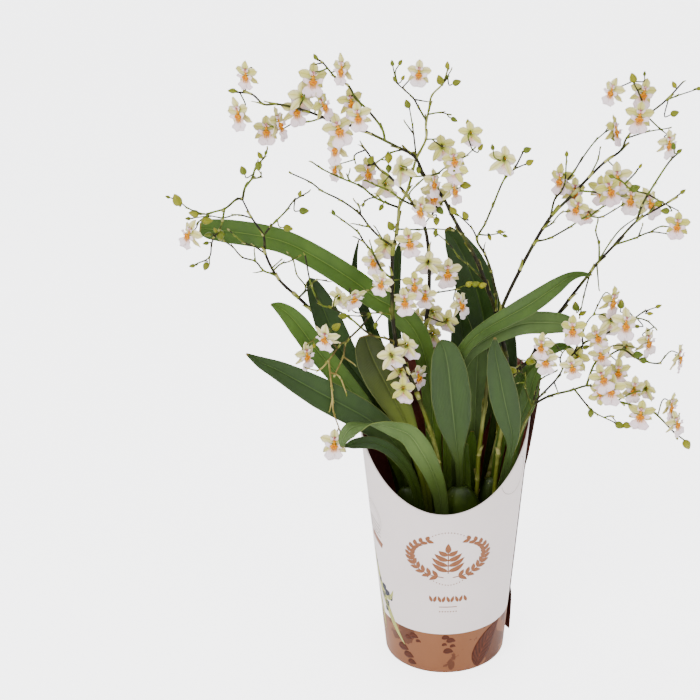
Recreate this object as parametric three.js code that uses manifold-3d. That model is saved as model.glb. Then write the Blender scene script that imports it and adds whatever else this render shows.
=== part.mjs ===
// A potted miniature oncidium orchid in a flared card sleeve. Millimetres, +Z up, origin at the centre
// of the underside, viewer on the -Y side.
import * as THREE from "three";
import { mergeVertices } from "three/addons/utils/BufferGeometryUtils.js";
import Module from "manifold-3d";

const wasm = await Module();
wasm.setup();

// Driving dimensions.
const SLEEVE_BASE_RADIUS = 48.2; // outside, at the table
const SLEEVE_FLARE = 0.088; // radius gained for each millimetre of height
const SLEEVE_FRONT = 151; // rim height at the front
const SLEEVE_SWEEP = 60; // how fast the rim climbs round the sides
const SLEEVE_BACK = 237; // rim height across the back
const BAND_TOP = 38.3; // upper edge of the copper band
const CARD = 1.0; // sleeve thickness
const POT_BASE_RADIUS = 40;
const POT_HEIGHT = 107;
const POT_WALL = 1.6;
const POT_FLOOR = 2.4;
const LIP_HEIGHT = 9;
const POT_SIDES = 24;
const BARK_TOP = 95;
const ROOT_HEIGHT = 88; // how far down into the bark the stems and leaves reach
const FIT = 0.4; // clearance between pieces that touch
const LEAF_THICKNESS = 0.9;
const KEEL = 0.12; // how deep a leaf is folded, as a share of its width
const PETAL_THICKNESS = 0.7;
const STEM_RADIUS = 1.25;
const TWIG_RADIUS = 0.6;
const LEAN_START = 345;
const SLACK = 0.2; // corners nearer than this to a flat face are left out
const JOINTS_A_STEP = 6;
const EYE_BACK = 1141.9; // the plant is drawn as seen from an eye this far in front of the pot's axis
const EYE_UP = 768.4; // and this high

const sleeveRadius = (z) => SLEEVE_BASE_RADIUS + SLEEVE_FLARE * z;
const sleeveRim = (angle) =>
  Math.min(SLEEVE_BACK, SLEEVE_FRONT + SLEEVE_SWEEP * (1 - Math.cos(angle)));

// ---- Solids ------------------------------------------------------------------------------------

function solid(geometry) {
  const bare = new THREE.BufferGeometry();
  bare.setAttribute("position", geometry.getAttribute("position"));
  bare.setIndex(geometry.getIndex());
  const welded = mergeVertices(bare, 1e-3);
  const corners = [];
  const index = welded.index.array;
  for (let i = 0; i < index.length; i += 3) {
    const [a, b, c] = index.subarray(i, i + 3);
    if (a !== b && b !== c && c !== a) corners.push(a, b, c);
  }
  const vertProperties = welded.attributes.position.array;
  return new wasm.Manifold(new wasm.Mesh({ numProp: 3, vertProperties, triVerts: new Uint32Array(corners) }));
}

function geometryOf(body) {
  const mesh = body.getMesh();
  const geometry = new THREE.BufferGeometry();
  geometry.setAttribute("position", new THREE.BufferAttribute(mesh.vertProperties, 3));
  geometry.setIndex(new THREE.BufferAttribute(mesh.triVerts, 1));
  geometry.computeVertexNormals();
  return geometry;
}

// Moves every vertex of a geometry: place(x, y, z) gives the new point.
function reshape(geometry, place) {
  const at = geometry.getAttribute("position");
  for (let i = 0; i < at.count; i++) {
    const p = place(at.getX(i), at.getY(i), at.getZ(i));
    at.setXYZ(i, p.x, p.y, p.z);
  }
  return geometry;
}

// ---- Sleeve, pot and bark ----------------------------------------------------------------------

function sleeve() {
  const sides = 40;
  const levels = [0, 0.3, 0.62, 1]; // shares of the height above the band
  const outside = [new THREE.Vector2(0, 0), ...levels.map((t) => new THREE.Vector2(0, BAND_TOP + t))];
  const inside = [...outside].reverse().map((p) => new THREE.Vector2(-CARD, p.y));
  const ring = [...outside, ...inside, outside[0]].map((p) => new THREE.Vector2(p.x + 50, p.y));
  const lathe = new THREE.LatheGeometry(ring, sides);
  return solid(
    reshape(lathe, (x, y, z) => {
      const angle = Math.atan2(x, z);
      const share = Math.max(0, y - BAND_TOP);
      const height = y <= BAND_TOP ? y : BAND_TOP + share * (sleeveRim(angle) - BAND_TOP);
      const radius = sleeveRadius(height) + Math.hypot(x, z) - 50;
      return new THREE.Vector3(radius * Math.sin(angle), -radius * Math.cos(angle), height);
    }),
  );
}

const potLipRadius = sleeveRadius(POT_HEIGHT - LIP_HEIGHT) - CARD - FIT;
const potRadius = (z) => POT_BASE_RADIUS + ((potLipRadius - 2.2 - POT_BASE_RADIUS) * z) / POT_HEIGHT;

function turned(profile, sides) {
  const lathe = new THREE.LatheGeometry(
    profile.map(([r, z]) => new THREE.Vector2(r, z)),
    sides,
  );
  return solid(lathe.rotateX(Math.PI / 2));
}

function pot() {
  const lipFoot = POT_HEIGHT - LIP_HEIGHT;
  const shell = turned(
    [
      [0, 0],
      [POT_BASE_RADIUS, 0],
      [potRadius(lipFoot), lipFoot],
      [potLipRadius, lipFoot],
      [potLipRadius, POT_HEIGHT],
      [potRadius(POT_HEIGHT) - POT_WALL, POT_HEIGHT],
      [potRadius(POT_FLOOR) - POT_WALL, POT_FLOOR],
      [0, POT_FLOOR],
    ],
    POT_SIDES,
  );
  const holes = [];
  for (let i = 0; i < 5; i++) {
    const angle = (i * 2 * Math.PI) / 5;
    const drill = wasm.Manifold.cylinder(3 * POT_FLOOR, 4, 4, 8, true);
    holes.push(drill.translate([27 * Math.cos(angle), 27 * Math.sin(angle), POT_FLOOR / 2]));
  }
  return shell.subtract(wasm.Manifold.union(holes));
}

// The chips' uneven top: a few waves of different lengths added together.
const barkBump = (x, y) =>
  1.6 * Math.sin(0.31 * x + 1) * Math.cos(0.27 * y) + 1.1 * Math.sin(0.63 * y + 0.5 * x);

function bark() {
  const rim = potRadius(BARK_TOP - 3) - POT_WALL - FIT;
  const foot = potRadius(POT_FLOOR) - POT_WALL - FIT;
  const rings = [0.94, 0.66, 0.33].map((share) => [rim * share, BARK_TOP]);
  const profile = [[0, POT_FLOOR + FIT], [foot, POT_FLOOR + FIT], [rim, BARK_TOP - 3], ...rings];
  const lathe = new THREE.LatheGeometry(
    [...profile, [0, BARK_TOP]].map(([r, z]) => new THREE.Vector2(r, z)),
    POT_SIDES,
  ).rotateX(Math.PI / 2);
  return solid(
    reshape(lathe, (x, y, z) => new THREE.Vector3(x, y, z < BARK_TOP - 0.5 ? z : z + barkBump(x, y))),
  );
}

// ---- Drawing in space --------------------------------------------------------------------------

// A plant point is given as [across, up, behind]: where the sight line from the eye to the point
// meets the upright plane through the pot's axis, and how far the point lies behind that plane.
function seen(across, up, behind) {
  const share = (behind + EYE_BACK) / EYE_BACK;
  return new THREE.Vector3(across * share, behind, EYE_UP + (up - EYE_UP) * share);
}

// The up of a point that stands in the bark.
const rootUp = (behind) => EYE_UP - (EYE_UP - ROOT_HEIGHT) / (1 + behind / EYE_BACK);
const spot = ([across, up, behind]) => seen(across, up || rootUp(behind), behind);

const smooth = (points) => new THREE.CatmullRomCurve3(points, false, "centripetal");

// A round stem of a few flat sides along a curve.
function tube(points, radius, sides, steps) {
  const section = new THREE.Shape();
  for (let i = 0; i < sides; i++) {
    const angle = (i * 2 * Math.PI) / sides;
    section[i ? "lineTo" : "moveTo"](radius * Math.cos(angle), radius * Math.sin(angle));
  }
  const along = { steps, extrudePath: smooth(points), bevelEnabled: false, curveSegments: 1 };
  return solid(new THREE.ExtrudeGeometry(section, along));
}

// Points close together along the middle of such a stem, short of its tip, where others may join it.
function joints(points, steps) {
  const corners = smooth(points).getSpacedPoints(steps);
  const beads = [];
  for (let i = 0; i < steps; i++)
    for (let k = 0; k < JOINTS_A_STEP; k++)
      beads.push(corners[i].clone().lerp(corners[i + 1], k / JOINTS_A_STEP));
  return beads;
}

// ---- Leaves and pseudobulbs --------------------------------------------------------------------

// A leaf is a list of stations from base to tip: [across, up, behind, width, turn]. Turn is the
// angle by which the blade is rolled about its own length, 0 when its face looks at the eye.
function blade(stations, grow) {
  const middle = smooth(stations.map(spot));
  const spans = stations.length - 1;
  const steps = spans;
  const at = (share, column) => {
    const place = Math.min(share * spans, spans - 1e-6);
    const i = Math.floor(place);
    return THREE.MathUtils.lerp(stations[i][column] ?? 0, stations[i + 1][column] ?? 0, place - i);
  };
  const grid = new THREE.BoxGeometry(1, 1, 1, 2, steps, 1);
  const eye = new THREE.Vector3(0, -EYE_BACK, EYE_UP);
  return solid(
    reshape(grid, (x, y, z) => {
      const share = y + 0.5;
      const centre = middle.getPoint(share);
      const along = middle.getTangent(share);
      const face = eye.clone().sub(centre);
      face.addScaledVector(along, -face.dot(along)).normalize();
      face.applyAxisAngle(along, THREE.MathUtils.degToRad(at(share, 4)));
      const across = new THREE.Vector3().crossVectors(along, face);
      const width = at(share, 3) + 2 * grow;
      const sink = KEEL * width * (1 - 2 * Math.abs(x));
      return centre
        .addScaledVector(across, x * width)
        .addScaledVector(face, z * (LEAF_THICKNESS + 2 * grow) - sink);
    }),
  );
}

// A pseudobulb: a flattened egg standing in the bark.
function pseudobulb({ foot, height, width, depth, lean }, grow) {
  const egg = new THREE.SphereGeometry(0.5, 9, 6).rotateX(Math.PI / 2);
  const base = new THREE.Vector3(foot[0], foot[1], ROOT_HEIGHT);
  return solid(
    reshape(egg, (x, y, z) => {
      const share = z + 0.5;
      const narrow = 1 - 0.35 * share;
      return new THREE.Vector3(
        base.x + x * (width * narrow * 1.2 + 2 * grow) + lean * share * height,
        base.y + y * (depth * narrow * 1.2 + 2 * grow),
        base.z + z * (height + 2 * grow) + height / 2,
      );
    }),
  );
}

// ---- Blooms, buds and sprays -------------------------------------------------------------------

// One half of a bloom's outline, from the top sepal's tip down to the lip's foot, as seen from the
// front: [across, up, forward] from the middle of the bloom.
const BLOOM_HALF = [
  [0, 6.6, 0.6],
  [1.9, 2.3, 0],
  [8.8, 1.2, -0.8],
  [2.2, -1.9, 0],
  [6.9, -9.2, -0.6],
  [1.3, -4.4, 1],
  [4.6, -11.6, 3.2],
];
const LIP_FOOT = [0, -11.9, 3.3];

function bloomSolid() {
  const mirrored = BLOOM_HALF.slice(1).map(([x, y, forward]) => [-x, y, forward]);
  const outline = [...BLOOM_HALF, LIP_FOOT, ...mirrored.reverse()];
  const shape = new THREE.Shape(outline.map(([x, y]) => new THREE.Vector2(x, y)));
  const plate = new THREE.ExtrudeGeometry(shape, { depth: PETAL_THICKNESS, bevelEnabled: false });
  const forwardAt = (x, y) => outline.find((p) => Math.hypot(p[0] - x, p[1] - y) < 1e-3)[2];
  return solid(
    reshape(plate, (x, y, z) => new THREE.Vector3(x, PETAL_THICKNESS / 2 - z - forwardAt(x, y), y)),
  );
}
const BLOOM = bloomSolid();
// Where a bloom stands: heading 0 faces the eye and 90 the right.
function placedBloom([across, up, behind, heading, nod = 0, roll = 0]) {
  const [x, y, z] = [nod, roll, heading].map(THREE.MathUtils.degToRad);
  const turned = new THREE.Matrix4().makeRotationFromEuler(new THREE.Euler(x, y, z, "ZXY"));
  return turned.setPosition(seen(across, up, behind));
}

// A bud on its tapering stalk: widest at its middle, with its tip one way and its foot at a joint.
function budOn(middle, joint, angle, length) {
  const stalk = joint.clone().sub(middle);
  const foot = joint.clone().addScaledVector(stalk, 0.5 / stalk.length());
  const wide = length * (length > 6 ? 0.62 : 0.55);
  const radians = THREE.MathUtils.degToRad(angle);
  const ahead = new THREE.Vector3(Math.cos(radians), 0, Math.sin(radians));
  if (stalk.dot(ahead) > 0) ahead.negate();
  const aside = new THREE.Vector3(-ahead.z, 0, ahead.x);
  return solid(
    reshape(new THREE.OctahedronGeometry(0.5, 0), (x, y, z) => {
      if (z < -0.25) return foot;
      const side = aside.clone().multiplyScalar(x * wide).add(new THREE.Vector3(0, -y * wide, 0));
      return middle.clone().add(side).addScaledVector(ahead, z * length);
    }),
  );
}

const stemSteps = (points) => Math.ceil(points.length * 0.7);

// The joint of a spray nearest to a point of the drawing; depth, where it is given, counts half.
function nearest(beads, [across, up, behind]) {
  let best = null;
  let least = Infinity;
  for (const bead of beads) {
    const share = (bead.y + EYE_BACK) / EYE_BACK;
    const depth = behind === undefined ? 0 : 0.5 * (bead.y - behind);
    const gap = Math.hypot(bead.x / share - across, EYE_UP + (bead.z - EYE_UP) / share - up, depth);
    if (gap < least) [best, least] = [bead, gap];
  }
  return best;
}

// The whole of a spray leans back, or forward, more and more above a height of the drawing.
const leant = (up, behind, lean) => behind + lean * Math.max(0, up - LEAN_START);
const stemPoints = ({ stem, lean }) => stem.map(([across, up, b]) => spot([across, up, leant(up, b, lean)]));

function spray(plan) {
  const pieces = [];
  const beads = [];
  const grow = (points, thick, sides, steps) => {
    pieces.push(tube(points, thick, sides, steps));
    beads.push(...joints(points, steps));
  };
  const stem = stemPoints(plan);
  grow(stem, STEM_RADIUS, 5, stemSteps(stem));
  // A branch starts in the nearest stem grown before it and comes forward or back evenly.
  for (const [tipBehind, thick, first, ...others] of plan.branches) {
    const start = nearest(beads, first);
    const tip = leant(others.at(-1)[1], tipBehind, plan.lean);
    const rest = others.map(([across, up], i) =>
      seen(across, up, THREE.MathUtils.lerp(start.y, tip, (i + 1) / others.length)),
    );
    grow([start, ...rest], thick, 3, Math.ceil(others.length / 2));
  }
  for (const [across, up, behind, ...turns] of plan.blooms) {
    const middle = [across, up, leant(up, behind, plan.lean)];
    const place = placedBloom([...middle, ...turns]);
    const back = new THREE.Vector3(0, 0.3, 0).applyMatrix4(place);
    pieces.push(BLOOM.transform(place.toArray()), tube([back, nearest(beads, middle)], TWIG_RADIUS, 3, 1));
  }
  for (const [across, up, behind, angle, length] of plan.buds) {
    const middle = [across, up, leant(up, behind, plan.lean)];
    pieces.push(budOn(seen(...middle), nearest(beads, middle), angle, length));
  }
  return wasm.Manifold.union(pieces);
}

// ---- Where the leaves and bulbs are ------------------------------------------------------------

const BULBS = {
  bulb_front: { foot: [17, -14], height: 63, width: 26, depth: 14, lean: -0.08 },
  bulb_right: { foot: [36, 2], height: 62, width: 22, depth: 14, lean: 0.02 },
  bulb_left: { foot: [-26, -6], height: 58, width: 24, depth: 14, lean: -0.06 },
  bulb_back: { foot: [16, 34], height: 58, width: 24, depth: 14, lean: 0.04 },
};

// [across, up, behind, width, turn]; an up of 0 is a base that stands in the bark.
const LEAVES = {
  leaf_arch: [
    [-5, 0, 2, 8], [-7, 150, 2, 10], [-9, 200, 2, 13], [-13.5, 248, 2, 15.5],
    [-22, 275, 3, 18], [-38, 294.5, 4, 18.5], [-50, 302, 5, 19], [-70, 318, 8, 18.5],
    [-100, 338, 12, 18], [-120, 348, 14, 18], [-140, 352.8, 15, 18.5],
    [-160, 355.8, 16, 18], [-174, 357.5, 16, 15], [-180.5, 358.3, 16, 8],
  ],
  leaf_spotted: [
    [-28.5, 137, -6, 6], [-30, 160, -11, 9], [-36, 176, -15, 14], [-47, 191, -20, 20],
    [-62, 203.5, -26, 23], [-78, 213.5, -28, 24], [-95, 223.5, -28, 23.5],
    [-112, 234, -28, 19.5], [-127, 243, -28, 14.5], [-140, 249.7, -28, 9], [-151, 257, -28, 1.5],
  ],
  leaf_left: [
    [-22, 0, 9, 7], [-35, 158, 2, 10], [-50, 190, -4, 13], [-66, 217, -8, 15],
    [-82, 240, -8, 16.5], [-97, 260, -8, 17], [-110, 280, -8, 16.5], [-118, 290, -8, 13],
    [-125, 295.5, -8, 8], [-130.5, 297.6, -8, 1.5],
  ],
  leaf_dark_left: [
    [-30, 0, 16, 7], [-36, 150, 14, 9], [-46, 190, 11, 12], [-56, 222, 9, 13.5],
    [-72, 248, 11, 19], [-83, 270, 14, 23], [-89, 288, 16, 21], [-94, 302, 18, 17],
    [-99, 314, 18, 10], [-102, 317, 18, 5],
  ],
  leaf_olive: [
    [-9, 0, -9, 6], [-15, 143, -9, 7], [-20, 165, -9, 9], [-25.5, 185, -9, 12],
    [-31, 201, -9, 17], [-39, 219, -9, 24], [-47, 236, -9, 28], [-54, 252, -9, 27],
    [-58.5, 265, -9, 20], [-60, 272, -9, 9],
  ],
  leaf_curled: [
    [-2, 0, -28, 8], [-3, 130, -31, 11], [-10, 156, -34, 15], [-19, 175, -37, 18],
    [-28, 188, -39, 16, -8], [-40, 193, -41, 13, -30], [-50, 195.5, -42, 12, -58],
    [-57, 196.4, -43, 11, -84], [-65, 195, -44, 12, -125], [-73, 192, -45, 14, -150],
    [-78.5, 185, -46, 9, -165], [-80, 176.5, -46, 2.5, -165],
  ],
  leaf_small_left: [
    [-15, 0, -20, 6], [-24, 145, -26, 8], [-38, 170, -32, 9.5], [-52, 180, -35, 9.5, -10],
    [-64, 181, -36, 9.5, -15], [-72, 179.5, -36, 7.5, -15], [-78.5, 177.2, -36, 1.5, -15],
  ],
  leaf_front: [
    [12, 138, -14, 4], [11.2, 163, -20, 6], [9.8, 175, -20, 11], [8.6, 186, -20, 18],
    [7.2, 200, -20, 27], [5.2, 220, -21, 31], [3.2, 242, -22, 28], [0.6, 258, -23, 21],
    [-1.5, 264, -23, 14], [-3.6, 268, -22, 3],
  ],
  leaf_bulb_tip: [[16.6, 138, -11, 4], [16, 162, -11, 4.5], [16.3, 172, -12, 3.2], [17.8, 180, -11, 1.2]],
  leaf_front_right: [
    [33, 0, -26, 7], [39, 115, -27, 7], [46, 145, -28, 7], [51.5, 172, -31, 5], [52.6, 186, -34, 11],
    [49.6, 202, -34, 19], [45.6, 221, -34, 22], [41.4, 243, -34, 18.5], [38.6, 258, -34, 11],
    [38.2, 270.5, -34, 1.5],
  ],
  leaf_right: [
    [9, 0, -2, 8], [8, 160, -4, 9], [8, 215, -7, 10], [11, 244, -8, 11],
    [19, 259, -9, 12], [32, 269, -9, 13], [46, 277, -9, 15.5], [60, 282, -9, 17],
    [78, 282.6, -9, 17], [91, 282, -9, 14], [98.5, 281.3, -9, 7],
  ],
  leaf_right_arch: [
    [2, 0, -8, 7], [2, 150, -10, 7], [3, 200, -13, 8], [7, 242, -15, 9],
    [17, 264, -15, 9.5], [30, 276.5, -15, 11], [45, 286, -15, 13.5], [60, 295, -15, 15.5],
    [72, 303.5, -15, 14.5], [83, 312, -15, 12], [93, 319.3, -15, 7.5], [101, 321.8, -15, 4.5],
    [110, 321.3, -15, 1.5],
  ],
  leaf_dark_tall: [
    [18, 163, 35, 7], [23, 187, 36, 13], [30, 220, 38, 20], [32, 255, 38, 26],
    [30, 282, 38, 30], [26, 302, 38, 31], [20.5, 320, 38, 30], [14.5, 335, 38, 26],
    [8, 348, 38, 18], [2, 358.5, 38, 5],
  ],
  leaf_dark_middle: [
    [10, 0, 18, 8], [11, 150, 20, 11], [12.5, 200, 22, 15], [14, 235, 25, 19],
    [14, 258, 26, 20], [13, 276, 26, 17], [11.5, 289, 26, 10], [10.5, 297, 26, 2],
  ],
  leaf_blue_middle: [
    [21, 0, 9, 8], [22, 150, 9, 11], [23.5, 200, 9, 15], [24.5, 235, 8, 17],
    [25.5, 257, 6, 15], [26.5, 270, 5, 10], [27, 279, 5, 2],
  ],
  leaf_round_middle: [
    [18, 0, -2, 7], [20, 145, -2, 8], [21.2, 165, -2, 9], [21, 181, -2, 8.5], [21.5, 191, -2, 3],
  ],
  leaf_dark_right: [
    [28, 0, 25, 8], [35, 160, 24, 10], [42, 200, 23, 13], [46.5, 230, 22, 16],
    [47.5, 253, 22, 16.5], [47, 272, 22, 14], [45, 288, 22, 7], [44, 297, 22, 1.5],
  ],
  leaf_bright_right: [
    [44, 0, -9, 6], [47, 145, -12, 8], [53, 172, -12, 10], [57.5, 197, -12, 11],
    [64, 217, -12, 14], [67.5, 233, -12, 12.5], [71.5, 244, -12, 7], [75, 250, -12, 1.5],
  ],
  leaf_far_right: [
    [39.5, 150, 2, 6], [42, 170, 2, 8], [47, 195, 4, 9], [52, 215, 4, 9.5], [59, 236, 4, 10],
    [70, 251, 4, 10], [82, 260.5, 4, 8.5], [91, 263, 4, 5.5], [98.5, 260, 4, 1.5],
  ],
  leaf_narrow_left: [
    [-12, 0, 24, 6], [-20, 160, 22, 8], [-28, 205, 21, 9], [-35, 250, 20, 10],
    [-38, 280, 20, 10], [-37.5, 305, 20, 9.5], [-36, 325, 20, 8], [-34, 340, 20, 5.5],
    [-31.5, 350, 20, 1.5],
  ],
  leaf_thin_left: [
    [-22, 0, 34, 6], [-28, 165, 33, 8], [-38, 220, 32, 9], [-50, 262, 31, 9],
    [-62, 298, 30, 8], [-67, 320, 28, 6], [-66, 336, 28, 3.5], [-63.3, 349, 28, 1],
  ],
};

// ---- Where the sprays are ----------------------------------------------------------------------

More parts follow.
